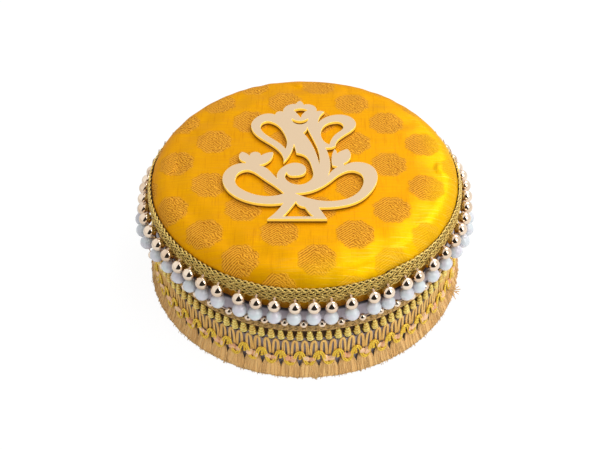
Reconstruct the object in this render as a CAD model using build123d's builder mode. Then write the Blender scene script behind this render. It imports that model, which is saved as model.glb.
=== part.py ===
# Round sweet box with a padded brocade lid, bead drops and a gold lace skirt.
# A rigid board box in three parts: base, neck ring and lift-off lid.
# The origin is the centre of the underside, and +Z is up. Sizes are in millimetres.

import os
from math import cos, pi, radians, sin, tan

from build123d import *

os.makedirs("parts", exist_ok=True)

# Driving dimensions of the box
box_radius = 68.0
seam_height = 40.0
lid_height = 18.0

# Boards, papers and cloths
base_board = 3.5
floor_board = 3.0
neck_board = 1.5
lid_top_board_thickness = 3.0
underside_paper = 0.4
floor_paper = 0.5
lid_paper = 0.5
wrap_thickness = 0.4
cover_thickness = 0.5

# Clearances
glue_line = 0.05
seam_gap = 0.3
lid_running_gap = 0.4
neck_top_gap = 0.5
hem_top_gap = 1.15
trim_gap = 0.1
lace_gap = 2.9
drop_gap = 0.3
bead_gap = 0.1

# Padded lid: a flat middle, a slope that falls away from it, and a round shoulder
pad_thickness = 5.9
slope_width = 13.0
slope_angle = 3.0
shoulder_radius = 7.5
board_edge_setback = 0.6

# Braid round the lid
braid_drop = 5.0
braid_height = 6.5
braid_thickness = 0.9

# Bead drops under the braid
drop_pitch = 7.5
gold_bead_radius = 2.6
pearl_radius = 3.0
spacer_radius = 1.5
spacer_drop = 3.2
bead_ring_angles = (-45, 0, 45)
spacer_ring_angles = (-27, 27)

# Lace round the base
header_height = 2.5
header_thickness = 1.0
net_thickness = 0.8
picot_height = 5.4
picot_pitch = 4.2
picot_width = 2.6
picot_depth = 1.7
gimp_pitch = 8.0
gimp_height = 7.9
gimp_width = 2.2
gimp_depth = 1.8
sequin_radius = 1.3
fringe_bottom = 0.5
fringe_height = 6.5
fringe_pitch = 7.4
fringe_thickness = 1.2
fringe_flare = 2.1
fringe_groove = 0.8

# Emblem, drawn on a grid of squares that has its zero on the lid's axis
emblem_height = 79.3
emblem_thickness = 2.0
emblem_height_shares = 79.3

# Heights and radii that follow from the sizes above
base_top = seam_height
lid_bottom = seam_height + seam_gap
lid_top_height = seam_height + lid_height
wall_bottom = underside_paper + glue_line
wall_top = base_top - wrap_thickness - glue_line
wall_outer = box_radius - wrap_thickness - glue_line
wall_inner = wall_outer - base_board
neck_outer = wall_inner - glue_line
neck_inner = neck_outer - neck_board
floor_top = wall_bottom + floor_board
pad_bottom = lid_top_height - cover_thickness - glue_line - pad_thickness
lid_board_top = pad_bottom - glue_line
lid_board_bottom = lid_board_top - lid_top_board_thickness
lid_lining_bottom = lid_board_bottom - glue_line - lid_paper
neck_top = lid_lining_bottom - neck_top_gap
hem_inner = neck_outer + lid_running_gap
hem_outer = hem_inner + cover_thickness
lid_wall_outer = box_radius - cover_thickness - glue_line
lid_wall_inner = hem_outer + glue_line
net_inner = box_radius + trim_gap
net_outer = net_inner + net_thickness
braid_top = lid_top_height - braid_drop
braid_bottom = braid_top - braid_height
gold_height = braid_bottom - bead_gap - gold_bead_radius
pearl_height = gold_height - gold_bead_radius - bead_gap - pearl_radius
spacer_height = pearl_height - spacer_drop
header_top = spacer_height - spacer_radius - lace_gap
header_bottom = header_top - header_height
fringe_top = fringe_bottom + fringe_height
gimp_bottom = fringe_top + trim_gap


def annulus(outer_radius, inner_radius):
    """Draw the section of a ring in the sketch that is open."""
    Circle(outer_radius)
    Circle(inner_radius, mode=Mode.SUBTRACT)


def lid_outline(inset, foot):
    """Draw half the lid's section down to a foot height, set in from the cloth's outer face."""
    slope = radians(slope_angle)
    flat_end = box_radius - shoulder_radius * (1 - sin(slope)) - slope_width
    drop = slope_width * tan(slope)
    start_x = flat_end + slope_width - inset * sin(slope)
    start_z = lid_top_height - drop - inset * cos(slope)
    flat_corner = (flat_end - inset * tan(slope / 2), lid_top_height - inset)
    flat = Line((0, lid_top_height - inset), flat_corner)
    fall = Line(flat_corner, (start_x, start_z))
    shoulder = JernArc(fall @ 1, fall % 1, shoulder_radius - inset, slope_angle - 90)
    side = Line(shoulder @ 1, ((shoulder @ 1).X, foot))
    base_line = Line(side @ 1, (0, foot))
    Line(base_line @ 1, flat @ 0)


def emblem_outline(runs):
    """Draw a closed outline on the emblem's grid. Each run starts where the last one ended:
    one more point makes it straight, two an arc, and more a smooth curve."""
    square = emblem_height / emblem_height_shares
    start = runs[-1][-1]
    for run in runs:
        points = [(x * square, y * square) for x, y in [start] + run]
        if len(points) == 2:
            Line(*points)
        elif len(points) == 3:
            ThreePointArc(*points)
        else:
            Spline(*points)
        start = run[-1]


def bead_corners(radius, sides, latitudes):
    """Give a faceted bead's corners: one at each pole, and rings that are each turned half a side
    from the last."""
    corners = [(0, 0, radius), (0, 0, -radius)]
    for place, latitude in enumerate(latitudes):
        ring_radius = radius * cos(radians(latitude))
        height = radius * sin(radians(latitude))
        for side in range(sides):
            angle = 2 * pi * (side + place / 2) / sides
            corners.append((ring_radius * cos(angle), ring_radius * sin(angle), height))
    return corners


# Base: underside paper, floor board, outer wall, neck ring, cloth wrap and floor paper

with BuildPart() as underside:
    with BuildSketch():
        Circle(wall_outer)
    extrude(amount=underside_paper)

with BuildPart() as base_floor:
    with BuildSketch(Plane.XY.offset(wall_bottom)):
        Circle(neck_outer)
    extrude(amount=floor_board)

with BuildPart() as base_wall:
    with BuildSketch(Plane.XY.offset(wall_bottom)):
        annulus(wall_outer, wall_inner)
    extrude(amount=wall_top - wall_bottom)

with BuildPart() as neck_ring:
    with BuildSketch(Plane.XY.offset(floor_top + glue_line)):
        annulus(neck_outer, neck_inner)
    extrude(amount=neck_top - floor_top - glue_line)

with BuildPart() as floor_lining:
    with BuildSketch(Plane.XY.offset(floor_top + glue_line)):
        Circle(neck_inner - glue_line)
    extrude(amount=floor_paper)

with BuildPart() as base_wrap:
    with BuildSketch(Plane.XY.offset(wall_bottom)):
        annulus(box_radius, wall_outer + glue_line)
    extrude(amount=base_top - wall_bottom)
    with BuildSketch(Plane.XY.offset(base_top - wrap_thickness)):
        annulus(box_radius, wall_inner)
    extrude(amount=wrap_thickness)

# Lace round the base: header, net, picots, gimp cord with sequins, and cut fringe

with BuildPart() as lace_header:
    with BuildSketch(Plane.XY.offset(header_bottom)):
        annulus(net_inner + header_thickness, net_inner)
    extrude(amount=header_height)

with BuildPart() as lace_net:
    with BuildSketch(Plane.XY.offset(gimp_bottom)):
        annulus(net_outer, net_inner)
    extrude(amount=header_bottom - glue_line - gimp_bottom)

picot_foot_radius = net_outer + trim_gap
picot_count = round(2 * pi * picot_foot_radius / picot_pitch)
with BuildPart() as lace_picots:
    with BuildSketch(Plane.XY.offset(header_bottom - glue_line - picot_height)):
        with PolarLocations(picot_foot_radius, picot_count):
            Polygon((0, -picot_width / 2), (picot_depth, 0), (0, picot_width / 2), align=None)
    extrude(amount=picot_height)

gimp_inner = net_outer + trim_gap
gimp_outer = gimp_inner + gimp_depth
gimp_count = round(2 * pi * gimp_outer / gimp_pitch)
half_wave = 180 / gimp_count
gimp_low_height = gimp_bottom + gimp_width / 2
gimp_high_height = gimp_bottom + gimp_height - gimp_width / 2
with BuildPart(mode=Mode.PRIVATE) as gimp_wave:
    for turn, height in ((-1, gimp_low_height), (0, gimp_high_height), (1, gimp_low_height)):
        with BuildSketch(Plane.XZ.rotated((0, 0, turn * half_wave))):
            with Locations(((gimp_inner + gimp_outer) / 2, height)):
                Rectangle(gimp_depth, gimp_width)
    loft(ruled=True)

with BuildPart() as lace_gimp:
    with PolarLocations(0, gimp_count):
        add(gimp_wave.part)

sequin_ring_radius = gimp_inner + sequin_radius
with BuildPart() as gimp_sequins:
    with Locations((0, 0, gimp_low_height)):
        with PolarLocations(sequin_ring_radius, gimp_count):
            ConvexPolyhedron(bead_corners(sequin_radius, 4, (0,)))

fringe_top_radius = net_inner + fringe_thickness
fringe_bottom_radius = fringe_top_radius + fringe_flare
tuft_count = round(2 * pi * fringe_bottom_radius / fringe_pitch)


def pleats(crest_radius):
    """Give the corners of a ring of pleats, one crest and one groove to each tuft."""
    corners = []
    for step in range(2 * tuft_count):
        radius = crest_radius - fringe_groove * (step % 2)
        angle = pi * step / tuft_count
        corners.append((radius * cos(angle), radius * sin(angle)))
    return corners


with BuildPart() as fringe:
    for height, crest_radius in ((fringe_bottom, fringe_bottom_radius), (fringe_top, fringe_top_radius)):
        with BuildSketch(Plane.XY.offset(height)):
            with BuildLine():
                Polyline(*pleats(crest_radius), close=True)
            make_face()
    loft(ruled=True)
    with BuildSketch(Plane.XY.offset(fringe_bottom)):
        Circle(net_inner)
    extrude(amount=fringe_top - fringe_bottom, mode=Mode.SUBTRACT)

# Lid: wall, top board, paper lining, foam pad and the brocade drawn over them all

lid_wall_bottom = lid_bottom + cover_thickness + glue_line
with BuildPart() as lid_wall:
    with BuildSketch(Plane.XY.offset(lid_wall_bottom)):
        annulus(lid_wall_outer, lid_wall_inner)
    extrude(amount=lid_board_bottom - glue_line - lid_wall_bottom)

with BuildPart() as lid_top_board:
    with BuildSketch(Plane.XY.offset(lid_board_bottom)):
        Circle(lid_wall_outer - board_edge_setback)
    extrude(amount=lid_top_board_thickness)

with BuildPart() as lid_lining:
    with BuildSketch(Plane.XY.offset(lid_lining_bottom)):
        Circle(lid_wall_inner - glue_line)
    extrude(amount=lid_paper)

with BuildPart() as lid_padding:
    with BuildSketch(Plane.XZ):
        with BuildLine():
            lid_outline(cover_thickness + glue_line, lid_board_bottom)
        make_face()
    revolve(axis=Axis.Z)
    split(bisect_by=Plane.XY.offset(pad_bottom), keep=Keep.TOP)

with BuildPart() as lid_cover:
    with BuildSketch(Plane.XZ):
        with BuildLine():
            lid_outline(0, lid_bottom)
        make_face()
    revolve(axis=Axis.Z)
    with BuildSketch(Plane.XZ):
        with BuildLine():
            lid_outline(cover_thickness, lid_bottom + cover_thickness)
        make_face()
    revolve(axis=Axis.Z, mode=Mode.SUBTRACT)
    with BuildSketch(Plane.XY.offset(lid_bottom)):
        Circle(hem_inner)
    extrude(amount=cover_thickness, mode=Mode.SUBTRACT)
    with BuildSketch(Plane.XY.offset(lid_bottom)):
        annulus(hem_outer, hem_inner)
    extrude(amount=lid_lining_bottom - hem_top_gap - lid_bottom)

with BuildPart() as lid_braid:
    with BuildSketch(Plane.XZ):
        with BuildLine():
            lid_outline(-glue_line - braid_thickness, braid_bottom)
        make_face()
    revolve(axis=Axis.Z)
    with BuildSketch(Plane.XZ):
        with BuildLine():
            lid_outline(-glue_line, braid_bottom)
        make_face()
    revolve(axis=Axis.Z, mode=Mode.SUBTRACT)
    split(bisect_by=Plane.XY.offset(braid_top), keep=Keep.BOTTOM)


# Bead drops: a gold bead over a pearl, and a small spacer bead between each two pearls

drop_radius = box_radius + drop_gap + pearl_radius
drop_count = round(2 * pi * drop_radius / drop_pitch)
drop_step = 360 / drop_count

with BuildPart() as gold_beads:
    with Locations((0, 0, gold_height)):
        with PolarLocations(box_radius + drop_gap + gold_bead_radius, drop_count):
            ConvexPolyhedron(bead_corners(gold_bead_radius, 6, bead_ring_angles))

with BuildPart() as pearl_beads:
    with Locations((0, 0, pearl_height)):
        with PolarLocations(drop_radius, drop_count):
            ConvexPolyhedron(bead_corners(pearl_radius, 6, bead_ring_angles))

with BuildPart() as spacer_beads:
    with Locations((0, 0, spacer_height)):
        with PolarLocations(box_radius + drop_gap + spacer_radius, drop_count, drop_step / 2):
            ConvexPolyhedron(bead_corners(spacer_radius, 5, spacer_ring_angles))

# Emblem: a figure cut out of sheet in one line, with its points in squares of the grid

rim_shares = [
    [(-3.5, 42.2), (-4.0, 41.0)],
    [(-8.2, 39.6), (-10.0, 35.2)],
    [(-12.3, 35.2), (-13.5, 33.0)],
    [(-19.0, 33.3), (-24.2, 26.5), (-22.5, 19.7), (-14.0, 11.0), (-10.2, 5.5), (-9.3, -0.4)],
    [(-7.0, 3.8), (-4.8, 11.8)],
    [(-4.1, 8.5), (-3.7, 6.0)],
    [(0.0, 4.2), (3.1, -3.5), (3.2, -10.5), (-2.0, -14.8), (-7.5, -12.3), (-7.8, -6.8)],
    [(-6.6, -8.8), (-4.0, -9.2), (-0.1, -7.5), (0.0, -2.8), (-4.0, -0.6), (-8.6, -2.5), (-11.8, -10.8)],
    [(-13.8, -8.0), (-16.2, -4.6), (-19.8, -2.2)],
    [(-15.6, 0.6), (-14.0, 6.6)],
    [(-16.9, 5.9), (-19.3, 4.2)],
    [(-21.6, 6.7), (-24.2, 4.0)],
    [(-25.9, 5.9), (-27.6, 6.7)],
    [(-28.8, 3.0), (-26.0, 0.0)],
    [(-25.7, -0.9)],
    [(-31.0, -2.2), (-35.0, -8.0), (-34.3, -15.5), (-28.5, -22.7), (-19.0, -26.6), (-9.1, -26.4)],
    [(-11.5, -31.0), (-15.6, -36.0)],
    [(9.3, -36.0)],
    [(5.9, -29.1)],
    [(13.0, -28.7), (22.5, -25.2), (29.0, -17.5), (31.3, -9.0), (28.6, -2.2), (23.0, -0.1), (17.2, -2.5)],
    [(17.1, -1.0)],
    [(20.0, 3.0), (18.9, 8.6)],
    [(16.4, 7.6), (14.1, 5.4)],
    [(13.9, 7.3), (13.1, 8.7)],
    [(11.9, 4.0), (12.0, -2.4)],
    [(14.2, -3.3)],
    [(11.6, -6.1), (10.1, -8.8)],
    [(11.1, -1.5), (10.7, 3.0), (9.3, 9.4)],
    [(11.9, 9.6)],
    [(13.7, 10.9)],
    [(14.6, 14.5), (19.0, 19.5), (23.2, 25.8), (20.8, 31.3), (15.5, 33.0), (9.5, 31.0), (6.1, 27.2)],
    [(6.6, 30.8), (9.0, 35.0)],
    [(7.6, 35.7), (5.4, 35.4)],
    [(4.4, 39.2), (-0.5, 40.4)],
    [(-1.1, 42.0), (-2.2, 43.3)],
]
hole_shares = {
    "left_ear": [
        [(-7.9, 13.5), (-9.6, 20.5), (-12.6, 25.8), (-16.5, 28.2)],
        [(-19.4, 26.6), (-20.0, 23.5), (-18.0, 19.4), (-12.5, 14.0), (-8.6, 8.7)],
    ],
    "right_ear": [
        [(8.6, 14.0), (7.2, 20.0), (9.2, 25.4), (13.5, 27.7)],
        [(16.7, 26.7), (17.5, 24.0), (13.9, 19.0), (12.0, 15.5), (11.0, 11.7)],
    ],
    "crown_jewel": [
        [(-4.0, 34.6), (-5.0, 36.3)],
        [(-1.7, 37.5), (1.2, 36.2)],
        [(-0.7, 34.0), (-1.8, 30.8)],
    ],
    "brow": [
        [(-2.2, 28.3), (-5.8, 30.0)],
        [(-2.1, 25.9), (1.4, 30.0)],
    ],
    "trunk_line": [
        [(3.2, 17.0), (5.4, 10.0), (6.4, 4.0), (6.3, -1.5)],
        [(5.1, 5.2), (2.5, 13.5), (-0.7, 20.0)],
        [(0.3, 21.0), (1.0, 24.0)],
    ],
    "left_arm": [
        [(-29.3, -14.5), (-25.0, -19.0), (-16.5, -22.0), (-8.8, -20.3)],
        [(-11.4, -17.0), (-18.0, -10.5), (-21.8, -6.8), (-25.0, -5.4), (-28.2, -6.9), (-29.6, -10.0)],
    ],
    "right_arm": [
        [(16.0, -7.5), (20.5, -5.8), (24.2, -7.8), (25.2, -12.5), (22.8, -19.3), (15.0, -24.5)],
        [(8.5, -25.0), (1.0, -23.0), (-3.9, -20.2)],
        [(1.5, -19.4), (7.5, -16.0), (12.0, -11.5)],
    ],
    "pedestal": [
        [(-6.3, -30.0), (-9.0, -34.4)],
        [(3.6, -34.4)],
        [(1.2, -31.0), (0.0, -28.6)],
        [(-2.8, -27.2), (-3.7, -25.3)],
    ],
}

with BuildPart() as emblem:
    with BuildSketch(Plane.XY.offset(lid_top_height + glue_line)):
        with BuildLine():
            emblem_outline(rim_shares)
        make_face()
        for hole in hole_shares.values():
            with BuildSketch(mode=Mode.PRIVATE) as opening:
                with BuildLine():
                    emblem_outline(hole)
                make_face()
            add(opening.sketch, mode=Mode.SUBTRACT)
    extrude(amount=emblem_thickness)

pieces = {
    "underside": underside,
    "base_floor": base_floor,
    "base_wall": base_wall,
    "neck_ring": neck_ring,
    "floor_lining": floor_lining,
    "base_wrap": base_wrap,
    "lace_header": lace_header,
    "lace_net": lace_net,
    "lace_picots": lace_picots,
    "lace_gimp": lace_gimp,
    "gimp_sequins": gimp_sequins,
    "fringe": fringe,
    "lid_wall": lid_wall,
    "lid_top_board": lid_top_board,
    "lid_lining": lid_lining,
    "lid_padding": lid_padding,
    "lid_cover": lid_cover,
    "lid_braid": lid_braid,
    "gold_beads": gold_beads,
    "pearl_beads": pearl_beads,
    "spacer_beads": spacer_beads,
    "emblem": emblem,
}
for label, piece in pieces.items():
    piece.part.label = label
    export_step(piece.part, f"parts/{label}.step")
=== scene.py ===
"""Dressed scene of a round gift box for sweets.

The lid is padded and covered in brocade, with a cut-out figure glued on top, a braid round its shoulder and a
row of bead drops. The base is wrapped in silver cloth and trimmed with a gold lace. Lengths are in metres.
"""

import logging
import math
from dataclasses import dataclass, replace
from enum import Enum
from typing import Sequence

import bpy
import numpy as np
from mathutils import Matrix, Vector


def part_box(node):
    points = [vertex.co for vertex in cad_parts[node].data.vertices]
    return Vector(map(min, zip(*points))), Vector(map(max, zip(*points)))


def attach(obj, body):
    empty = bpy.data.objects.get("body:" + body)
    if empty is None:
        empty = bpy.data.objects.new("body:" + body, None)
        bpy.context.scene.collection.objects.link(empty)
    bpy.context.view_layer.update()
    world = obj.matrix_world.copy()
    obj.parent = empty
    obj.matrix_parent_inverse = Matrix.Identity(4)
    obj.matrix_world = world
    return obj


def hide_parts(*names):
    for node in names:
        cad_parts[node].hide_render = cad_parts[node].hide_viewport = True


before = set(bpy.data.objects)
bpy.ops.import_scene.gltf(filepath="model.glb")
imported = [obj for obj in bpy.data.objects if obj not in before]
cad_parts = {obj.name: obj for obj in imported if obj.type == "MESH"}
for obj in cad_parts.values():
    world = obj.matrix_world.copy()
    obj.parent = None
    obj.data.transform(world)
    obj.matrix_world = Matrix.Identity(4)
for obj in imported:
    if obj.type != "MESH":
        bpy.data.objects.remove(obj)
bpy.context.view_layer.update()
MM = 0.001
TURN = 2 * math.pi
SEED = 41
SAME_POINT = 0.002 * MM
HEM_DEPTH = 1.65 * MM
LACE_GAP = 0.1 * MM
WHITE = (1.0, 1.0, 1.0, 1.0)

Array = np.ndarray
Object = bpy.types.Object
Material = bpy.types.Material
Pair = tuple[float, float]
Triple = tuple[float, float, float]
Colour = tuple[float, float, float, float]
Settings = dict[str, object]
Sockets = dict[int | str, object]
LOG = logging.getLogger("sweet_box")


class Body(Enum):
    """The two bodies of the box."""

    BASE = "base"
    LID = "lid"


class Hand(Enum):
    """The way a pair of strands turns about each other."""

    LEFT = -1
    RIGHT = 1


def srgb(red: float, green: float, blue: float) -> Colour:
    """Turn a colour written from 0 to 255 into the linear values of a shader.

    Args:
        red, green, blue: The colour as a screen shows it.

    Returns:
        The linear colour with full alpha.
    """
    shares = (red / 255, green / 255, blue / 255)
    linear = [((share + 0.055) / 1.055) ** 2.4 if share > 0.04 else share / 12.92 for share in shares]
    return (linear[0], linear[1], linear[2], 1.0)


def running(steps: Array) -> Array:
    """Add steps up: the sum before the first step is 0, and the last is the sum of all."""
    return np.concatenate([[0.0], np.cumsum(steps)])


def ease(value: Array, start: float, end: float) -> Array:
    """Rise smoothly from 0 at start to 1 at end: three times the square less twice the cube."""
    t = np.clip((value - start) / (end - start), 0, 1)
    return t * t * (3 - 2 * t)


# Shader graphs


class Value:
    """A socket of a shader graph that takes part in Python expressions."""

    def __init__(self, paint: "Paint", socket: bpy.types.NodeSocket) -> None:
        """Keep the graph and the socket."""
        self.paint = paint
        self.socket = socket

    def __add__(self, other: "Value | float") -> "Value":
        """Add a Math node."""
        return self.paint.math("ADD", self, other)

    def __sub__(self, other: "Value | float") -> "Value":
        """Subtract with a Math node."""
        return self.paint.math("SUBTRACT", self, other)

    def __rsub__(self, other: float) -> "Value":
        """Subtract this from a number."""
        return self.paint.math("SUBTRACT", other, self)

    def __mul__(self, other: "Value | float") -> "Value":
        """Multiply with a Math node."""
        return self.paint.math("MULTIPLY", self, other)

    def __truediv__(self, other: "Value | float") -> "Value":
        """Divide with a Math node."""
        return self.paint.math("DIVIDE", self, other)

    __radd__ = __add__
    __rmul__ = __mul__


class Paint:
    """The node graph of a material or of the world."""

    def __init__(self, owner: Material | bpy.types.World) -> None:
        """Start an empty graph.

        Args:
            owner: The material or the world.
        """
        self.owner = owner
        owner.use_nodes = True
        self.tree = owner.node_tree
        self.tree.nodes.clear()

    @classmethod
    def named(cls, name: str) -> "Paint":
        """Start the graph of a new material of that name."""
        return cls(bpy.data.materials.new(name))

    def node(self, kind: str, settings: Settings, sockets: Sockets) -> bpy.types.Node:
        """Add a node.

        Args:
            kind: The node's type.
            settings: Its settings, which are set first.
            sockets: The values or links of its input sockets.

        Returns:
            The new node.
        """
        made = self.tree.nodes.new(kind)
        for name, setting in settings.items():
            setattr(made, name, setting)
        for key, value in sockets.items():
            if isinstance(value, Value):
                self.tree.links.new(value.socket, made.inputs[key])
            else:
                made.inputs[key].default_value = value
        return made

    def value(self, kind: str, settings: Settings, sockets: Sockets, output: int | str = 0) -> Value:
        """Add a node, and give its output of that number or name."""
        return Value(self, self.node(kind, settings, sockets).outputs[output])

    def math(self, operation: str, *values: "Value | float") -> Value:
        """Add a Math node of that operation on the values."""
        return self.value("ShaderNodeMath", {"operation": operation}, dict(enumerate(values)))

    def mix(self, factor: "Value | float", first: "Value | Colour", second: "Value | Colour") -> Value:
        """Mix two colours."""
        settings = {"data_type": "RGBA", "clamp_factor": True}
        return self.value("ShaderNodeMix", settings, {0: factor, 6: first, 7: second}, 2)

    def coordinates(self, kind: str) -> Value:
        """Read Object or UV coordinates."""
        return self.value("ShaderNodeTexCoord", {}, {}, kind)

    def tint(self) -> Value:
        """Read the random tint that each copy of a repeated shape carries."""
        return self.value("ShaderNodeAttribute", {"attribute_name": "tint"}, {}, "Fac")

    def parts(self, vector: Value) -> tuple[Value, Value, Value]:
        """Split a vector into its three numbers."""
        outputs = self.node("ShaderNodeSeparateXYZ", {}, {0: vector}).outputs
        return Value(self, outputs[0]), Value(self, outputs[1]), Value(self, outputs[2])

    def stretched(self, vector: Value, scale: Triple) -> Value:
        """Scale a vector along its own axes."""
        return self.value("ShaderNodeVectorMath", {"operation": "MULTIPLY"}, {0: vector, 1: scale})

    def noise(self, vector: Value, scale: float, detail: float = 2.0) -> Value:
        """Add smooth noise from about 0 to 1 on a vector."""
        sockets = {"Vector": vector, "Scale": scale, "Detail": detail, "Roughness": 0.55}
        return self.value("ShaderNodeTexNoise", {}, sockets, "Fac")

    def streaks(self, vector: Value, across: float, down: float, detail: float) -> Value:
        """Add noise with its own scale across and down a pattern's places."""
        return self.noise(self.stretched(vector, (across, down, 1)), 1.0, detail)

    def wave(self, turns: Value) -> Value:
        """Give a wave from 0 to 1 that repeats once for each unit of turns."""
        return self.math("SINE", turns * TURN) * 0.5 + 0.5

    def span(self, value: Value, low: float, high: float) -> Value:
        """Rise smoothly from 0 at low to 1 at high."""
        settings = {"interpolation_type": "SMOOTHSTEP"}
        return self.value("ShaderNodeMapRange", settings, {0: value, 1: low, 2: high})

    def bump(self, height: Value, distance: float, strength: float = 1.0) -> Value:
        """Turn a height into a normal.

        Args:
            height: The height, from 0 to 1.
            distance: How high 1 stands.
            strength: The share of it that shows.

        Returns:
            The bumped normal.
        """
        sockets = {"Strength": strength, "Distance": distance, "Height": height}
        return self.value("ShaderNodeBump", {}, sockets)

    def principled(self, sockets: Sockets) -> Material:
        """Close the graph with a Principled shader that has these sockets."""
        return self.closed("ShaderNodeOutputMaterial", self.value("ShaderNodeBsdfPrincipled", {}, sockets))

    def closed(self, output: str, shader: Value) -> Material | bpy.types.World:
        """Link a shader to an output node of that kind, and give the graph's owner."""
        self.node(output, {}, {0: shader})
        return self.owner


# Finishes


@dataclass(frozen=True)
class Brocade:
    """Shot silk with woven round medallions, laid out on the flat cloth."""

    warp: Colour = srgb(232, 168, 4)
    weft: Colour = srgb(216, 140, 4)
    slub: Colour = srgb(190, 112, 10)
    # bright and pale are painted highlight colours for the lit shoulder; pale also tints faint streaks all
    # over.
    bright: Colour = srgb(244, 196, 4)
    pale: Colour = srgb(255, 218, 84)
    edge_tint: Colour = srgb(255, 200, 80)
    # Painted shade colour for the cloth under the braid.
    shade: Colour = srgb(110, 56, 8)
    thread: Colour = srgb(240, 176, 66)
    relief: Colour = srgb(170, 100, 24)
    lit_radius: float = 53 * MM
    lit_width: float = 11 * MM
    lit_drift: float = 5 * MM
    lit_side: Pair = (10 * MM, 60 * MM)
    lit_turn: float = 0.55
    shade_height: float = 49 * MM
    shade_depth: float = 9 * MM
    step_across: float = 15.55 * MM
    step_along: float = 14.4 * MM
    first_across: float = -9.8 * MM
    first_along: float = 1.1 * MM
    lean: float = math.radians(-0.8)
    medallion: float = 9.0 * MM
    soft_edge: float = 1.3 * MM
    petals: int = 8
    petal_depth: float = 0.32 * MM
    wander: float = 1.5 * MM
    fray: float = 2.3 * MM
    line_pitch: float = 1.9 * MM
    hatch_pitch: float = 0.98 * MM
    hatch_slant: Pair = (0.66, 0.75)
    hatch_bend: float = 2.0 * MM
    weave_height: float = 0.16 * MM

    def lattice(self, paint: Paint, cloth: Value) -> tuple[Value, Value]:
        """Find a point's place from the nearest medallion.

        The medallions stand on every other crossing of a grid of two steps. On axes turned by an eighth
        they have whole numbers, so the nearest one is found by rounding.

        Args:
            paint: The graph.
            cloth: The place on the flat cloth.

        Returns:
            How far the point is across and along from the medallion's middle.
        """
        u, v, _ = paint.parts(cloth)
        across = u * math.cos(self.lean) + v * math.sin(self.lean)
        along = v * math.cos(self.lean) - u * math.sin(self.lean)
        a = (across - self.first_across) / self.step_across
        b = (along - self.first_along) / self.step_along
        p = (a + b - 1) * 0.5
        q = (a - b - 1) * 0.5
        p_rest = p - paint.math("ROUND", p)
        q_rest = q - paint.math("ROUND", q)
        return (p_rest + q_rest) * self.step_across, (p_rest - q_rest) * self.step_along

    def figure(self, paint: Paint, cloth: Value, grain: Value) -> tuple[Value, Value]:
        """Draw the medallions: slanted lines that meet in chevrons, crossed by petal lines and broken up.

        Args:
            paint: The graph.
            cloth: The place on the flat cloth.
            grain: The noise of single threads, which frays the medallions' edges.

        Returns:
            Where the medallions are, and their pattern.
        """
        across, along = self.lattice(paint, cloth)
        wobble = paint.noise(cloth, 420, 2.0)
        distance = paint.math("SQRT", across * across + along * along)
        petal = paint.math("COSINE", paint.math("ARCTAN2", along, across) * self.petals)
        reach = distance + petal * self.petal_depth + wobble * self.wander + grain * self.fray
        inside = 1 - paint.span(reach, self.medallion, self.medallion + self.soft_edge)
        rings = paint.wave(distance / self.line_pitch + petal * 0.3 + wobble * 1.2)
        folded = paint.math("ABSOLUTE", across + wobble * self.hatch_bend)
        slant = folded * self.hatch_slant[0] + along * self.hatch_slant[1]
        hatch = paint.wave(slant / self.hatch_pitch + wobble * 1.6)
        return inside, paint.span(hatch * 0.55 + rings * 0.2 + grain * 0.5, 0.38, 0.78)

    def light(self, paint: Paint, drift: Value) -> tuple[Value, Value]:
        """Find where the painted highlight and the painted shade go on the cloth.

        The painted highlight lies over the shoulder, from a radius outward and only on the lit side. The
        painted shade lies below a height.

        Args:
            paint: The graph.
            drift: The broad noise that makes the painted highlight uneven.

        Returns:
            The shares of painted highlight and of painted shade.
        """
        x, y, z = paint.parts(paint.coordinates("Object"))
        out = paint.math("SQRT", x * x + y * y) + drift * self.lit_drift
        # Painted shade: the share grows below a height, under the braid.
        under = 1 - paint.span(z, self.shade_height - self.shade_depth, self.shade_height)
        # Painted highlight: a mask over the shoulder, on the lit side only.
        lit = paint.span(out, self.lit_radius, self.lit_radius + self.lit_width) * (1 - under)
        return lit * paint.span(x - y * self.lit_turn, *self.lit_side), under

    def material(self) -> Material:
        """Weave the cloth.

        The ground has slubs both ways and pale streaks. Over the lit shoulder a painted highlight brightens
        it and strengthens the pale streaks, and there the medallions fade. Under the braid a painted shade
        darkens it.

        Returns:
            The material.
        """
        paint = Paint.named("brocade")
        cloth = paint.coordinates("UV")
        grain = paint.streaks(cloth, 1500, 1100, 2.0)
        inside, motif = self.figure(paint, cloth, grain)
        streak = paint.streaks(cloth, 70, 1700, 3.0)
        rib = paint.streaks(cloth, 1500, 80, 3.0)
        patch = paint.streaks(cloth, 260, 90, 2.0)
        drift = paint.noise(cloth, 30, 2.0)
        lit, under = self.light(paint, drift)
        ground = paint.mix(paint.span(streak, 0.3, 0.7) * 0.5 + drift * 0.5, self.warp, self.weft)
        ground = paint.mix(paint.span(rib + patch * 0.5, 0.76, 1.0) * 0.34, ground, self.slub)
        # Painted highlight: the ground turns bright yellow under the lit mask.
        ground = paint.mix(lit * (1.05 - grain * 0.9), ground, self.bright)
        # Pale streaks: faint all over, and much stronger as painted sheen where the painted highlight lies.
        ground = paint.mix(paint.span(streak, 0.52, 0.7) * (lit * 0.45 + 0.1), ground, self.pale)
        figure = paint.mix(motif, self.relief, self.thread)
        # The medallions fade under the painted highlight.
        colour = paint.mix(inside * (0.86 - motif * 0.34) * (1 - lit * 0.7), ground, figure)
        weave = streak * 0.5 + rib * 0.5 + inside * motif * 0.9
        return paint.principled({
            # Painted shade: the colour darkens towards the shade colour under the braid.
            "Base Color": paint.mix(under * 0.76, colour, self.shade),
            "Metallic": 0.42 - inside * 0.15,
            "Roughness": inside * 0.12 + 0.4 + streak * 0.1,
            "Specular IOR Level": 0.08,
            "Specular Tint": self.edge_tint,
            "Normal": paint.bump(weave, self.weave_height, 0.7),
        })


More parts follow.
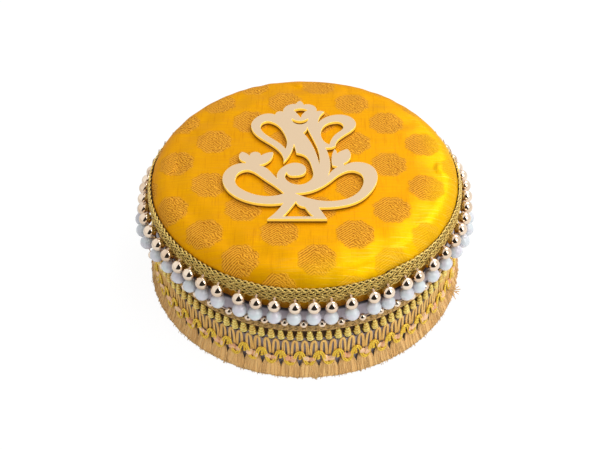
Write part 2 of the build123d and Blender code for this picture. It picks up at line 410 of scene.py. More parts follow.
@dataclass(frozen=True)
class MetalThread:
    """Yarn wrapped in metal film, with the slant of its twist."""

    name: str
    light: Colour
    dark: Colour
    twist_pitch: float = 0.9 * MM
    metal: float = 0.7
    rough: float = 0.38
    ridge: float = 0.09 * MM

    def material(self) -> Material:
        """Slant the twist round the thread with painted shade in its grooves, and paint uneven glints on the
        film.

        Returns:
            The material.
        """
        paint = Paint.named(self.name)
        along, turn, _ = paint.parts(paint.coordinates("UV"))
        twist = paint.wave(along / self.twist_pitch + turn)
        glint = paint.noise(paint.coordinates("Object"), 900, 2.0)
        patch = paint.noise(paint.coordinates("Object"), 120, 1.0)
        # Painted shade and highlight: dark in the twist's grooves, light on its crests, with painted glints,
        # plus a random tint per copy.
        shade = twist * 0.55 + glint * 0.45 + paint.tint() * 0.25 - 0.12
        return paint.principled({
            "Base Color": paint.mix(shade, self.dark, self.light),
            "Metallic": self.metal,
            "Roughness": patch * 0.25 + (self.rough - 0.12),
            "Normal": paint.bump(twist * 0.8 + glint * 0.3, self.ridge, 0.8),
        })


@dataclass(frozen=True)
class WovenGround:
    """The closely woven ground behind a trim's raised threads."""

    name: str
    light: Colour
    dark: Colour
    pitch: float = 0.75 * MM
    rib: float = 0.15 * MM

    def material(self) -> Material:
        """Cross two sets of ribs on the band's own places.

        Returns:
            The material.
        """
        paint = Paint.named(self.name)
        along, across, _ = paint.parts(paint.coordinates("UV"))
        ribs = paint.wave(along / self.pitch) * paint.wave(across / self.pitch + along * (0.5 / self.pitch))
        grime = paint.noise(paint.coordinates("Object"), 260, 2.0)
        return paint.principled({
            "Base Color": paint.mix(ribs * 0.7 + grime * 0.4, self.dark, self.light),
            "Metallic": 0.35,
            "Roughness": grime * 0.2 + 0.5,
            "Normal": paint.bump(ribs, self.rib),
        })


@dataclass(frozen=True)
class CutThread:
    """Soft cut thread that hangs in fine streaks, with painted shade where the cord lies over it."""

    light: Colour = srgb(255, 216, 142)
    dark: Colour = srgb(222, 158, 80)
    # Painted shade colour for the thread under the cord.
    shade: Colour = srgb(104, 64, 24)
    sheen: Colour = srgb(255, 226, 190)
    shade_band: Pair = (7.4 * MM, 9.4 * MM)
    waver: float = 1.0 * MM
    streaks_across: float = 2600.0
    streaks_down: float = 45.0
    streak_height: float = 0.16 * MM

    def material(self) -> Material:
        """Stretch noise down the hang of the thread, and darken it with painted shade over the height of the
        cord.

        Returns:
            The material.
        """
        paint = Paint.named("fringe_thread")
        place = paint.coordinates("UV")
        streak = paint.streaks(place, self.streaks_across, self.streaks_down, 3.0)
        bundle = paint.streaks(place, 520, 30, 1.0)
        shade = paint.span(streak, 0.3, 0.7) * 0.6 + bundle * 0.5 + paint.tint() * 0.2 - 0.1
        _, _, height = paint.parts(paint.coordinates("Object"))
        # Painted shade: a band over the height of the cord, made uneven by the bundles.
        under = paint.span(height + bundle * self.waver, *self.shade_band)
        return paint.principled({
            "Base Color": paint.mix(under * 0.62, paint.mix(shade, self.dark, self.light), self.shade),
            "Roughness": streak * 0.2 + 0.45,
            "Sheen Weight": 0.3,
            "Sheen Tint": self.sheen,
            "Normal": paint.bump(streak, self.streak_height),
        })


@dataclass(frozen=True)
class SatinCloth:
    """Thin satin glued round the base, with painted shade under the lid and over the lace."""

    rim: float
    radius: float
    lace: float
    light: Colour = srgb(196, 186, 198)
    dark: Colour = srgb(142, 132, 142)
    # Painted shade colour for the seam and for the band over the lace.
    shade: Colour = srgb(36, 31, 36)
    seam_depth: Pair = (1.5 * MM, 0.2 * MM)
    seam_inside: Pair = (1.3 * MM, 0.6 * MM)
    seam_waver: float = 0.6 * MM
    foot_under: Pair = (2.0 * MM, 1.0 * MM)
    foot_rise: float = 1.4 * MM
    foot_waver: float = 1.6 * MM
    rib: float = 0.07 * MM

    def material(self) -> Material:
        """Run fine warp ribs up the cloth with soft cloudy sheen.

        The painted shade of the seam is a band under the rim, and the painted shade over the lace a band at
        the lace's top.
        Noise makes the edges of both uneven.

        Returns:
            The material.
        """
        paint = Paint.named("silver_cloth")
        place = paint.coordinates("UV")
        ribs = paint.streaks(place, 2400, 160, 2.0)
        cloud = paint.streaks(place, 70, 160, 2.0)
        x, y, height = paint.parts(paint.coordinates("Object"))
        out = paint.math("SQRT", x * x + y * y)
        # Painted shade at the seam: a band under the rim, only on the outer corner.
        deep, shallow = self.seam_depth
        seam = paint.span(height + cloud * self.seam_waver, self.rim - deep, self.rim - shallow)
        inside, outside = self.seam_inside
        seam = seam * paint.span(out, self.radius - inside, self.radius - outside)
        # Painted shade over the lace: a band just above the lace's top.
        low = height - cloud * self.foot_waver
        below, above = self.foot_under
        foot = paint.span(low, self.lace - below, self.lace - above)
        foot = foot * (1 - paint.span(low, self.lace, self.lace + self.foot_rise))
        cloth = paint.mix(ribs * 0.4 + cloud * 0.6, self.dark, self.light)
        return paint.principled({
            "Base Color": paint.mix(seam * 0.95 + foot * 0.8, cloth, self.shade),
            "Roughness": cloud * 0.2 + 0.3,
            "Sheen Weight": 0.2,
            "Normal": paint.bump(ribs, self.rib, 0.7),
        })


@dataclass(frozen=True)
class MirrorAcrylic:
    """Gold mirror sheet with rims that glow with a painted highlight, and deep golden cut sides."""

    low: float
    face: Colour = srgb(224, 196, 160)
    # Bright rim colour, a painted highlight; it also colours the painted glow.
    rim: Colour = srgb(255, 228, 92)
    side: Colour = srgb(250, 202, 78)
    # Painted contact shadow colour at the foot of the cut sides.
    foot: Colour = srgb(120, 70, 12)
    plain: Colour = srgb(0, 0, 0)
    foot_band: Pair = (0.6 * MM, 1.2 * MM)
    saw_depth: float = 0.3 * MM
    ripple: float = 0.03 * MM
    # Strength of the painted glow: emission on rims and sides, though they are no lamp.
    glow: float = 0.9

    def material(self) -> Material:
        """Colour the face like a mirror and the sides golden, with a painted contact shadow at their foot,
        and let a painted glow light the eased rim and, fainter, the sides.

        Rim and sides are told from the face by how far the surface leans from level.

        Returns:
            The material.
        """
        paint = Paint.named("gold_acrylic")
        _, _, up = paint.parts(paint.value("ShaderNodeNewGeometry", {}, {}, "Normal"))
        cut = 1 - paint.span(up, 0.985, 0.9995)
        place = paint.coordinates("Object")
        _, _, height = paint.parts(place)
        cloud = paint.noise(place, 45, 2.0)
        saw = paint.noise(paint.stretched(place, (1, 1, 9)), 700, 1.0)
        start, end = self.foot_band
        # Painted contact shadow: the foot band of the sides, with a sawn upper edge.
        low = 1 - paint.span(height + saw * self.saw_depth, self.low + start, self.low + end)
        upright = 1 - paint.span(up, 0.2, 0.5)
        # Painted highlight: where the emission glows, strongest on the rim, never at the foot.
        gleam = cut * (1 - low) * (1 - upright * 0.6)
        edge = paint.mix(low, paint.mix(upright, self.rim, self.side), self.foot)
        return paint.principled({
            "Base Color": paint.mix(cut, self.face, edge),
            "Metallic": 0.38 - cut * 0.18,
            "Roughness": cloud * 0.05 + 0.12 + cut * 0.15,
            "Emission Color": paint.mix(gleam, self.plain, self.rim),
            "Emission Strength": self.glow,
            "Normal": paint.bump(saw * cut + cloud * 0.5, self.ripple, 0.5),
        })


@dataclass(frozen=True)
class PlatedBead:
    """A bright plated bead of rosy gold."""

    light: Colour = srgb(252, 236, 216)
    dark: Colour = srgb(206, 174, 142)

    def material(self) -> Material:
        """Plate the bead, a little redder and duller in patches.

        Returns:
            The material.
        """
        paint = Paint.named("gold_bead")
        patch = paint.noise(paint.coordinates("Object"), 330, 2.0)
        return paint.principled({
            "Base Color": paint.mix(patch * 0.7 + paint.tint() * 0.4, self.dark, self.light),
            "Metallic": 1.0,
            "Roughness": patch * 0.04 + 0.04,
        })


@dataclass(frozen=True)
class PearlLacquer:
    """A white bead under pearly lacquer."""

    milk: Colour = srgb(214, 220, 224)
    rose: Colour = srgb(212, 202, 214)
    green: Colour = srgb(202, 218, 218)
    sheen: Colour = srgb(226, 226, 246)
    depth: float = 2.0 * MM

    def material(self) -> Material:
        """Drift between milk, rose and green over each bead under a clear coat.

        Returns:
            The material.
        """
        paint = Paint.named("pearl")
        place = paint.coordinates("Object")
        first = paint.noise(place, 210, 1.0)
        second = paint.noise(paint.stretched(place, (1, 1, 1.7)), 160, 1.0)
        body = paint.mix(paint.span(first, 0.42, 0.66) * 0.6, self.milk, self.rose)
        body = paint.mix(paint.span(second, 0.5, 0.72) * 0.5, body, self.green)
        return paint.principled({
            "Base Color": body,
            "Roughness": paint.tint() * 0.1 + 0.26,
            "Subsurface Weight": 0.25,
            "Subsurface Radius": (self.depth, self.depth, self.depth),
            "Coat Weight": 0.7,
            "Coat Roughness": 0.16,
            "Sheen Weight": 0.2,
            "Sheen Tint": self.sheen,
        })


@dataclass(frozen=True)
class SequinFilm:
    """Faceted peach film with a pearly gleam."""

    light: Colour = srgb(255, 218, 172)
    dark: Colour = srgb(218, 138, 84)

    def material(self) -> Material:
        """Let each sequin differ a little in colour and gloss.

        Returns:
            The material.
        """
        paint = Paint.named("peach_sequin")
        cloud = paint.noise(paint.coordinates("Object"), 420, 1.0)
        return paint.principled({
            "Base Color": paint.mix(paint.tint() * 0.6 + cloud * 0.5, self.dark, self.light),
            "Metallic": 0.3,
            "Roughness": cloud * 0.2 + 0.16,
            "Coat Weight": 0.4,
        })


@dataclass(frozen=True)
class ClearThread:
    """Clear nylon thread."""

    body: Colour = srgb(226, 178, 132)
    milk: Colour = srgb(250, 226, 204)

    def material(self) -> Material:
        """Keep the thread milky and partly see-through.

        Returns:
            The material.
        """
        paint = Paint.named("clear_thread")
        cloud = paint.noise(paint.coordinates("Object"), 500, 1.0)
        return paint.principled({
            "Base Color": paint.mix(cloud, self.body, self.milk),
            "Roughness": cloud * 0.1 + 0.22,
            "Alpha": cloud * 0.3 + 0.6,
        })


@dataclass(frozen=True)
class Paper:
    """Paper or grey board with fibres pressed into it."""

    name: str
    light: Colour
    dark: Colour
    metal: float = 0.0
    rough: float = 0.7
    nap: float = 0.06 * MM

    def material(self) -> Material:
        """Scatter fibres and faint clouds over the sheet.

        Returns:
            The material.
        """
        paint = Paint.named(self.name)
        place = paint.coordinates("Object")
        fibre = paint.noise(paint.stretched(place, (1, 3, 1)), 700, 4.0)
        cloud = paint.noise(place, 60, 2.0)
        share = paint.span(fibre, 0.35, 0.65) * 0.6 + cloud * 0.4
        return paint.principled({
            "Base Color": paint.mix(share, self.dark, self.light),
            "Metallic": self.metal,
            "Roughness": fibre * 0.15 + self.rough - 0.07,
            "Normal": paint.bump(fibre, self.nap, 0.7),
        })


@dataclass(frozen=True)
class Foam:
    """Open-cell foam sheet."""

    light: Colour = srgb(240, 234, 214)
    dark: Colour = srgb(206, 194, 160)
    cells: float = 1300.0
    pit_depth: float = 0.25 * MM

    def material(self) -> Material:
        """Pit the foam with small cells.

        Returns:
            The material.
        """
        paint = Paint.named("foam")
        sockets = {"Vector": paint.coordinates("Object"), "Scale": self.cells}
        pit = paint.value("ShaderNodeTexVoronoi", {}, sockets, "Distance")
        return paint.principled({
            "Base Color": paint.mix(paint.span(pit, 0.1, 0.6), self.dark, self.light),
            "Roughness": pit * 0.1 + 0.85,
            "Normal": paint.bump(pit, self.pit_depth),
        })


# Surfaces


def placed(name: str, data: bpy.types.ID) -> Object:
    """Put a new object into the scene.

    Args:
        name: The object's name.
        data: Its mesh, camera or lamp.

    Returns:
        The object, at the origin.
    """
    made = bpy.data.objects.new(name, data)
    bpy.context.scene.collection.objects.link(made)
    return made


@dataclass(frozen=True)
class Surface:
    """Points and faces, with a pattern place for each corner of a face and a tint for each point."""

    points: Array
    quads: Array
    fans: Array
    quad_places: Array
    fan_places: Array
    tints: Array

    def joined(self, *others: "Surface") -> "Surface":
        """Put other surfaces together with this one.

        Args:
            others: The other surfaces.

        Returns:
            One surface that holds them all.
        """
        all_of = (self, *others)
        starts = np.cumsum([0] + [len(one.points) for one in all_of[:-1]])
        return Surface(
            np.concatenate([one.points for one in all_of]),
            np.concatenate([one.quads + start for one, start in zip(all_of, starts)]),
            np.concatenate([one.fans + start for one, start in zip(all_of, starts)]),
            np.concatenate([one.quad_places for one in all_of]),
            np.concatenate([one.fan_places for one in all_of]),
            np.concatenate([one.tints for one in all_of]),
        )

    def piece(self, name: str, material: Material, body: Body, smooth: bool = True) -> Object:
        """Make the object and let it ride on its body.

        Args:
            name: The piece's name.
            material: Its finish.
            body: The body that it moves with.
            smooth: Whether its faces are shaded smooth.

        Returns:
            The object, at the origin.
        """
        mesh = bpy.data.meshes.new(name)
        mesh.from_pydata(self.points.tolist(), [], self.quads.tolist() + self.fans.tolist())
        places = np.concatenate([self.quad_places.reshape(-1, 2), self.fan_places.reshape(-1, 2)])
        mesh.uv_layers.new(name="place").data.foreach_set("uv", places.astype(np.float32).ravel())
        mesh.attributes.new("tint", "FLOAT", "POINT").data.foreach_set("value", self.tints.astype(np.float32))
        mesh.polygons.foreach_set("use_smooth", np.full(len(mesh.polygons), smooth))
        mesh.materials.append(material)
        made = placed(name, mesh)
        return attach(made, body.value)


def loft(rings: Array, closed: bool = False, tips: Array | None = None) -> Surface:
    """Skin rows of rings.

    Quads join each ring to the next, and the last to the first where the row is closed. Elsewhere a fan of
    triangles closes each end on its tip, which is the middle of the last ring unless it is given. A place
    is the length along the ring's middles and the share of a turn. A row whose volume comes out below zero
    is turned the right way.

    Args:
        rings: The points, as (copies, rings, points round a ring, 3).
        closed: Whether each row is a loop.
        tips: The two end points of each copy, as (copies, 2, 3).

    Returns:
        The surface of all copies.
    """
    copies, count, sides, _ = rings.shape
    steps = count if closed else count - 1
    middles = rings.mean(axis=2)
    strides = np.linalg.norm(np.roll(middles, -1, axis=1) - middles, axis=2)
    lengths = np.concatenate([np.zeros((copies, 1)), np.cumsum(strides, axis=1)], axis=1)[:, : steps + 1]
    ring, side = np.meshgrid(np.arange(steps), np.arange(sides), indexing="ij")
    after, beside = (ring + 1) % count, (side + 1) % sides
    first, second = ring * sides, after * sides
    quads = np.stack([first + side, first + beside, second + beside, second + side], -1).reshape(-1, 4)
    turn = np.stack([side, side + 1, side + 1, side], -1) / sides
    along = lengths[:, np.stack([ring, ring, ring + 1, ring + 1], -1)]
    quad_places = np.stack([along, np.broadcast_to(turn, along.shape)], -1).reshape(copies, -1, 4, 2)
    own = count * sides + (0 if closed else 2)
    points = rings.reshape(copies, -1, 3)
    fans = np.zeros((0, 3), int)
    fan_places = np.zeros((copies, 0, 3, 2))
    if not closed:
        ends = np.stack([middles[:, 0], middles[:, -1]], axis=1) if tips is None else tips
        points = np.concatenate([points, ends], axis=1)
        rim, last = np.arange(sides), (count - 1) * sides
        near = np.stack([(rim + 1) % sides, rim, np.full(sides, count * sides)], -1)
        far = np.stack([last + rim, last + (rim + 1) % sides, np.full(sides, count * sides + 1)], -1)
        fans = np.concatenate([near, far])
        share = np.stack([rim / sides, (rim + 1) / sides, (rim + 0.5) / sides], -1)
        start = np.stack([np.zeros_like(share), share], -1)
        end = np.stack([np.ones_like(share), share], -1) * np.array([0.001, 1.0])
        fan_places = np.broadcast_to(np.concatenate([start, end]), (copies, 2 * sides, 3, 2))
    a, b, c, d = (points[0][quads[:, i]] for i in range(4))
    volume = np.sum(a * np.cross(b, c)) + np.sum(a * np.cross(c, d))
    volume += np.sum(points[0][fans[:, 0]] * np.cross(points[0][fans[:, 1]], points[0][fans[:, 2]]))
    if volume < 0:
        quads, quad_places = quads[:, ::-1], quad_places[:, :, ::-1]
        fans, fan_places = fans[:, ::-1], fan_places[:, :, ::-1]
    offset = (np.arange(copies) * own)[:, None, None]
    return Surface(
        points.reshape(-1, 3),
        (quads[None] + offset).reshape(-1, 4),
        (fans[None] + offset).reshape(-1, 3),
        quad_places.reshape(-1, 4, 2),
        fan_places.reshape(-1, 3, 2),
        np.repeat(np.random.default_rng(SEED).random(copies), own),
    )


def band(rows: Array, places: Array) -> Surface:
    """Skin a grid that goes once round the box and stays open at its two edges.

    Args:
        rows: The points, as (rows, columns, 3), where the last column meets the first.
        places: The pattern places, as (rows, columns + 1, 2).

    Returns:
        The surface.
    """
    count, columns, _ = rows.shape
    row, column = np.meshgrid(np.arange(count - 1), np.arange(columns), indexing="ij")
    beside = (column + 1) % columns
    near, far = row * columns, (row + 1) * columns
    quads = np.stack([near + column, far + column, far + beside, near + beside], -1)
    corner = np.stack([places[:-1, :-1], places[1:, :-1], places[1:, 1:], places[:-1, 1:]], axis=2)
    return Surface(
        rows.reshape(-1, 3),
        quads.reshape(-1, 4),
        np.zeros((0, 3), int),
        corner.reshape(-1, 4, 2),
        np.zeros((0, 3, 2)),
        np.full(count * columns, 0.5),
    )


def sweep(
    path: Array, outward: Array, deep: Array | float, wide: Array | float, sides: int, closed: bool = False
) -> Array:
    """Carry an oval section along paths.

    A ring is its path point, plus the depth times a cosine along the outward direction, plus the width
    times a sine along the direction that stands square to the path and to outward.

    Args:
        path: The paths, as (copies, points, 3).
        outward: The outward direction at each path point.
        deep: Half the section's depth along outward.
        wide: Half the section's width.
        sides: The points of one ring.
        closed: Whether each path is a loop.

    Returns:
        The rings, as (copies, points, sides, 3).
    """
    if closed:
        ahead = np.roll(path, -1, axis=1) - np.roll(path, 1, axis=1)
    else:
        ahead = np.gradient(path, axis=1)
    across = np.cross(ahead, outward)
    across /= np.linalg.norm(across, axis=-1, keepdims=True)
    raised = np.cross(across, ahead)
    raised /= np.linalg.norm(raised, axis=-1, keepdims=True)
    turn = np.arange(sides) * TURN / sides
    deep, wide = (np.broadcast_to(v, path.shape[:2])[..., None, None] for v in (deep, wide))
    return (
        path[:, :, None]
        + deep * np.cos(turn)[:, None] * raised[:, :, None]
        + wide * np.sin(turn)[:, None] * across[:, :, None]
    )


def points_of(piece: Object) -> Array:
    """Read the points of a piece's mesh.

    Args:
        piece: The piece.

    Returns:
        The points, as (points, 3).
    """
    points = np.empty(len(piece.data.vertices) * 3)
    piece.data.vertices.foreach_get("co", points)
    return points.reshape(-1, 3)


def move_points(piece: Object, points: Array) -> None:
    """Put the points of a piece's mesh in new places, given as (points, 3)."""
    piece.data.vertices.foreach_set("co", points.ravel())


def settle(piece: Object) -> None:
    """Apply all modifiers of a piece to its mesh.

    Args:
        piece: The piece, which keeps its name and loses its modifiers.
    """
    shown = piece.evaluated_get(bpy.context.evaluated_depsgraph_get())
    mesh = bpy.data.meshes.new_from_object(shown)
    piece.modifiers.clear()
    piece.data = mesh


def thicken(piece: Object, thickness: float) -> None:
    """Give a sheet its thickness, inward from its faces.

    Args:
        piece: The sheet.
        thickness: How thick it is.
    """
    shell = piece.modifiers.new("thickness", "SOLIDIFY")
    shell.thickness = thickness
    shell.offset = -1.0


def around(angle: Array, radius: Array | float, height: Array | float) -> Array:
    """Give the points at an angle round the box, a radius and a height."""
    angle, radius, height = np.broadcast_arrays(angle, radius, height)
    return np.stack([radius * np.cos(angle), radius * np.sin(angle), height], -1)


def balls(middles: Array, radius: Array, rings: int, sides: int) -> Surface:
    """Make balls: rings of latitude between two poles, each point a radius from the middle.

    Args:
        middles: The balls' middles, as (copies, 3).
        radius: The balls' radii.
        rings: The rings between the poles.
        sides: The points of one ring.

    Returns:
        The surface of all balls.
    """
    latitude = (np.arange(rings) + 1) * math.pi / (rings + 1) - math.pi / 2
    circle = around(np.arange(sides) * TURN / sides, np.cos(latitude)[:, None], np.sin(latitude)[:, None])
    poles = np.array([[0.0, 0.0, -1.0], [0.0, 0.0, 1.0]])
    size = radius[:, None, None]
    return loft(
        middles[:, None, None] + size[..., None] * circle,
        tips=middles[:, None] + size * poles,
    )


# The studio


@dataclass(frozen=True)
class Lamp:
    """A square soft lamp: where it hangs, the length of its side and its power in watts."""

    name: str
    place: Triple
    size: float
    power: float


@dataclass
class Studio:
    """The photograph's camera, a plain white floor and soft lamps."""

    distance: float = 500 * MM
    elevation: float = math.radians(44.2)
    aim_height: float = 21.6 * MM
    focal_pixels: float = 1085.0
    image_width: float = 600.0
    middle_offset: float = 4.8
    sensor: float = 36.0
    clip: Pair = (0.01, 50.0)
    sky: float = 0.56
    lamp_aim: float = 30 * MM
    lamps: tuple[Lamp, ...] = (
        Lamp("key", (0.34, 0.42, 0.66), 0.5, 2.9),
        Lamp("fill", (0.36, -0.4, 0.5), 0.5, 2.2),
    )
    floor_half: float = 3.0
    floor_glow: float = 1.06
    glow_share: float = 0.87
    card_corners: tuple[Triple, ...] = (
        (-0.36, -0.42, 0.0), (0.36, -0.42, 0.0), (0.05, -0.12, 0.86),
    )

    def camera(self) -> None:
        """Stand the camera in front of the box, at the fitted height and focal length."""
        data = bpy.data.cameras.new("camera")
        data.sensor_width = self.sensor
        data.lens = self.focal_pixels / self.image_width * self.sensor
        data.shift_x = -self.middle_offset / self.image_width
        data.clip_start, data.clip_end = self.clip
        back = Vector((0, -math.cos(self.elevation), math.sin(self.elevation)))
        camera = placed("camera", data)
        camera.location = Vector((0, 0, self.aim_height)) + back * self.distance
        camera.rotation_mode = "QUATERNION"
        camera.rotation_quaternion = (-back).to_track_quat("-Z", "Y")
        bpy.context.scene.camera = camera

    def hang(self, lamp: Lamp) -> None:
        """Hang a lamp that points at the box.

        Args:
            lamp: The lamp.
        """
        data = bpy.data.lights.new(lamp.name, "AREA")
        data.size = lamp.size
        data.energy = lamp.power
        hung = placed(lamp.name, data)
        hung.location = lamp.place
        hung.rotation_mode = "QUATERNION"
        aim = Vector((0, 0, self.lamp_aim)) - Vector(lamp.place)
        hung.rotation_quaternion = aim.to_track_quat("-Z", "Y")

    def world(self) -> None:
        """Light the scene evenly, and show white to the camera, in reflections and through clear things."""
        paint = Paint(bpy.data.worlds.new("studio"))
        rays = paint.node("ShaderNodeLightPath", {}, {}).outputs
        camera, glossy, through = (
            Value(paint, rays[f"Is {kind} Ray"]) for kind in ("Camera", "Glossy", "Transmission")
        )
        shown = paint.math("MAXIMUM", paint.math("MAXIMUM", camera, glossy), through)
        sockets = {"Value": shown, "To Min": self.sky, "To Max": 1.0}
        strength = paint.value("ShaderNodeMapRange", {}, sockets)
        white = paint.value("ShaderNodeBackground", {}, {"Color": WHITE, "Strength": strength})
        bpy.context.scene.world = paint.closed("ShaderNodeOutputWorld", white)

    def plate(
        self, name: str, corners: Sequence[Triple], finish: Material
    ) -> Object:
        """Make a flat plate of the studio.

        Args:
            name: The plate's name.
            corners: Its corners, in order.
            finish: Its material.

        Returns:
            The plate.
        """
        mesh = bpy.data.meshes.new(name)
        mesh.from_pydata(corners, [], [tuple(range(len(corners)))])
        mesh.materials.append(finish)
        return placed(name, mesh)

    def floor(self) -> None:
        """Lay a floor that keeps the box's shadow, and glows white to the camera."""
        paint = Paint.named("floor")
        speck = paint.noise(paint.coordinates("Object"), 90, 2.0)
        colour = paint.mix(speck, srgb(243, 243, 243), srgb(249, 249, 249))
        matt = paint.value("ShaderNodeBsdfDiffuse", {}, {0: colour})
        glow = paint.value("ShaderNodeEmission", {}, {0: WHITE, 1: self.floor_glow})
        share = paint.value("ShaderNodeLightPath", {}, {}, "Is Camera Ray") * self.glow_share
        mixed = paint.value("ShaderNodeMixShader", {}, {0: share, 1: matt, 2: glow})
        finish = paint.closed("ShaderNodeOutputMaterial", mixed)
        half = self.floor_half
        corners = [(-half, -half, 0), (half, -half, 0), (half, half, 0), (-half, half, 0)]
        made = self.plate("floor", corners, finish)

    def card(self) -> None:
        """Stand a dark three-cornered card in front, which only the reflections see."""
        paint = Paint.named("card")
        cloud = paint.noise(paint.coordinates("Object"), 9, 1.0)
        finish = paint.principled({
            "Base Color": paint.mix(cloud, srgb(16, 14, 14), srgb(36, 30, 28)),
            "Roughness": 0.9,
        })
        made = self.plate("card", self.card_corners, finish)
        made.visible_camera = made.visible_diffuse = False
        made.visible_shadow = made.visible_transmission = False

    def build(self) -> None:
        """Set up the camera, the floor and all lights."""
        bpy.context.scene.view_settings.view_transform = "Standard"
        self.camera()
        self.world()
        self.floor()
        self.card()
        for lamp in self.lamps:
            self.hang(lamp)


# The lid


@dataclass(frozen=True)
class LidForm:
    """The lid's outline: a flat middle, a slope, a round shoulder and an upright side, eased together."""

    radius: float
    top: float
    bottom: float
    slope_width: float = 13 * MM
    slope: float = math.radians(3.0)
    slope_soft: float = 8 * MM
    shoulder: float = 7.5 * MM
    soft: float = 2.2 * MM
    step: float = 0.05 * MM
    longest: float = 0.1
    outer: float = 0.04
    fitted: float = 0.05

    @property
    def bends(self) -> Triple:
        """The places where the outline bends.

        Returns:
            The lengths from the middle at which the slope, the shoulder and the side start.
        """
        flat = self.radius - self.shoulder * (1 - math.sin(self.slope)) - self.slope_width
        slope_end = flat + self.slope_width / math.cos(self.slope)
        return flat, slope_end, slope_end + self.shoulder * (math.pi / 2 - self.slope)

    def lean(self, run: Array) -> Array:
        """Give the outline's lean at lengths from the middle.

        It rises softly to the slope's, and over the shoulder as a straight line whose two ends are rounded
        off.

        Args:
            run: The lengths from the middle.

        Returns:
            The angles below level, in radians.
        """
        flat, slope_end, side = self.bends
        t = np.clip((run - slope_end + self.soft) / (side - slope_end + 2 * self.soft), 0, 1)
        turned = 0.5 * t + 0.5 * t * t * (3 - 2 * t)
        sloped = ease(run, flat - self.slope_soft, flat + self.slope_soft)
        return self.slope * sloped + (math.pi / 2 - self.slope) * turned

    def at(self, run: Array, proud: Array | float) -> tuple[Array, Array, Array]:
        """Find points of the outline by adding up short steps along its lean.

        What the rounded bends add to the radius is taken out again evenly, so the side stands where it
        should.

        Args:
            run: The lengths from the lid's middle over the cloth.
            proud: How far the points stand out from the cloth.

        Returns:
            The radius and the height of each point, and the angle of its outward direction from upright.
        """
        steps = np.arange(0, self.longest, self.step)
        lean = self.lean(steps + self.step / 2)
        radii = running(np.cos(lean))[:-1] * self.step
        heights = self.top - running(np.sin(lean))[:-1] * self.step
        radii = radii * (1 + (self.radius / radii[-1] - 1) * ease(steps, 0, self.fitted))
        lean = self.lean(run)
        radius, height = np.interp(run, steps, radii), np.interp(run, steps, heights)
        return radius + proud * np.sin(lean), height + proud * np.cos(lean), lean

    def run_at(self, height: float) -> float:
        """Find the length from the middle at which the outline comes down to a height."""
        runs = np.arange(self.outer, self.longest, self.step)
        return float(np.interp(-height, -self.at(runs, 0.0)[1], runs))

    def points(self, angle: Array, run: Array, proud: Array | float) -> tuple[Array, Array]:
        """Place points over the cloth, and give the direction outward from it at each.

        Args:
            angle: The angles round the lid.
            run: The lengths from the lid's middle.
            proud: How far the points stand out from the cloth.

        Returns:
            The points and their outward directions.
        """
        radius, height, lean = self.at(run, proud)
        return around(angle, radius, height), around(angle, np.sin(lean), np.cos(lean))


@dataclass
class Pad:
    """The foam pad under the brocade, swollen by a cloth simulation."""

    form: LidForm
    voxel: float = 2.4 * MM
    shrink: float = 0.35 * MM
    glued: float = 0.8 * MM
    most_move: float = 0.8 * MM
    pressure: float = 4.0
    frames: int = 20
    under_cloth: float = 0.55 * MM
    calm_radius: float = 43 * MM
    edge_radius: float = 57 * MM
    edge_swell: float = 0.35 * MM

    def start(self) -> Object:
        """Copy the CAD pad, close it, remesh it and draw it in a little.

        Returns:
            The pad before it swells.
        """
        pad = placed("foam_pad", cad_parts["lid_padding"].data.copy())
        pad.modifiers.new("weld", "WELD").merge_threshold = SAME_POINT
        remesh = pad.modifiers.new("remesh", "REMESH")
        remesh.mode = "VOXEL"
        remesh.voxel_size = self.voxel
        settle(pad)
        normals = np.empty(len(pad.data.vertices) * 3)
        pad.data.vertex_normals.foreach_get("vector", normals)
        move_points(pad, points_of(pad) - self.shrink * normals.reshape(-1, 3))
        return pad

    def swell(self, pad: Object) -> None:
        """Blow the pad up with cloth pressure while its foot stays glued to the board.

        A point that would move further than the largest move goes that far along the same way.

        Args:
            pad: The pad from start.
        """
        before = points_of(pad)
        foot = pad.vertex_groups.new(name="foot")
        low = before[:, 2].min() + self.glued
        foot.add(np.flatnonzero(before[:, 2] < low).tolist(), 1.0, "REPLACE")
        cloth = pad.modifiers.new("cloth", "CLOTH")
        cloth.settings.use_pressure = True
        cloth.settings.uniform_pressure_force = self.pressure
        cloth.settings.effector_weights.gravity = 0
        cloth.settings.vertex_group_mass = "foot"
        cloth.point_cache.frame_end = self.frames
        for step in range(1, self.frames + 1):
            bpy.context.scene.frame_set(step)
        settle(pad)
        bpy.context.scene.frame_set(1)
        move = points_of(pad) - before
        length = np.linalg.norm(move, axis=1, keepdims=True)
        move *= self.most_move / np.maximum(length, self.most_move)
        move_points(pad, before + move)

    def level(self, pad: Object) -> None:
        """Keep the pad level where the figure lies, and let it rise a little only outside it.

        Args:
            pad: The pad.
        """
        points = points_of(pad)
        radius = np.hypot(points[:, 0], points[:, 1])
        swell = self.edge_swell * ease(radius, self.calm_radius, self.edge_radius)
        points[:, 2] = np.minimum(points[:, 2], self.form.top - self.under_cloth + swell)
        move_points(pad, points)
        pad.data.update()

    def build(self) -> Object:
        """Returns:
            The pad, which the brocade is drawn over.
        """
        pad = self.start()
        self.swell(pad)
        self.level(pad)
        subdivide = pad.modifiers.new("subdivision", "SUBSURF")
        subdivide.levels = subdivide.render_levels = 1
        pad.data.polygons.foreach_set("use_smooth", np.full(len(pad.data.polygons), True))
        pad.data.materials.clear()
        pad.data.materials.append(Foam().material())
        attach(pad, Body.LID.value)
        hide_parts("lid_padding")
        return pad


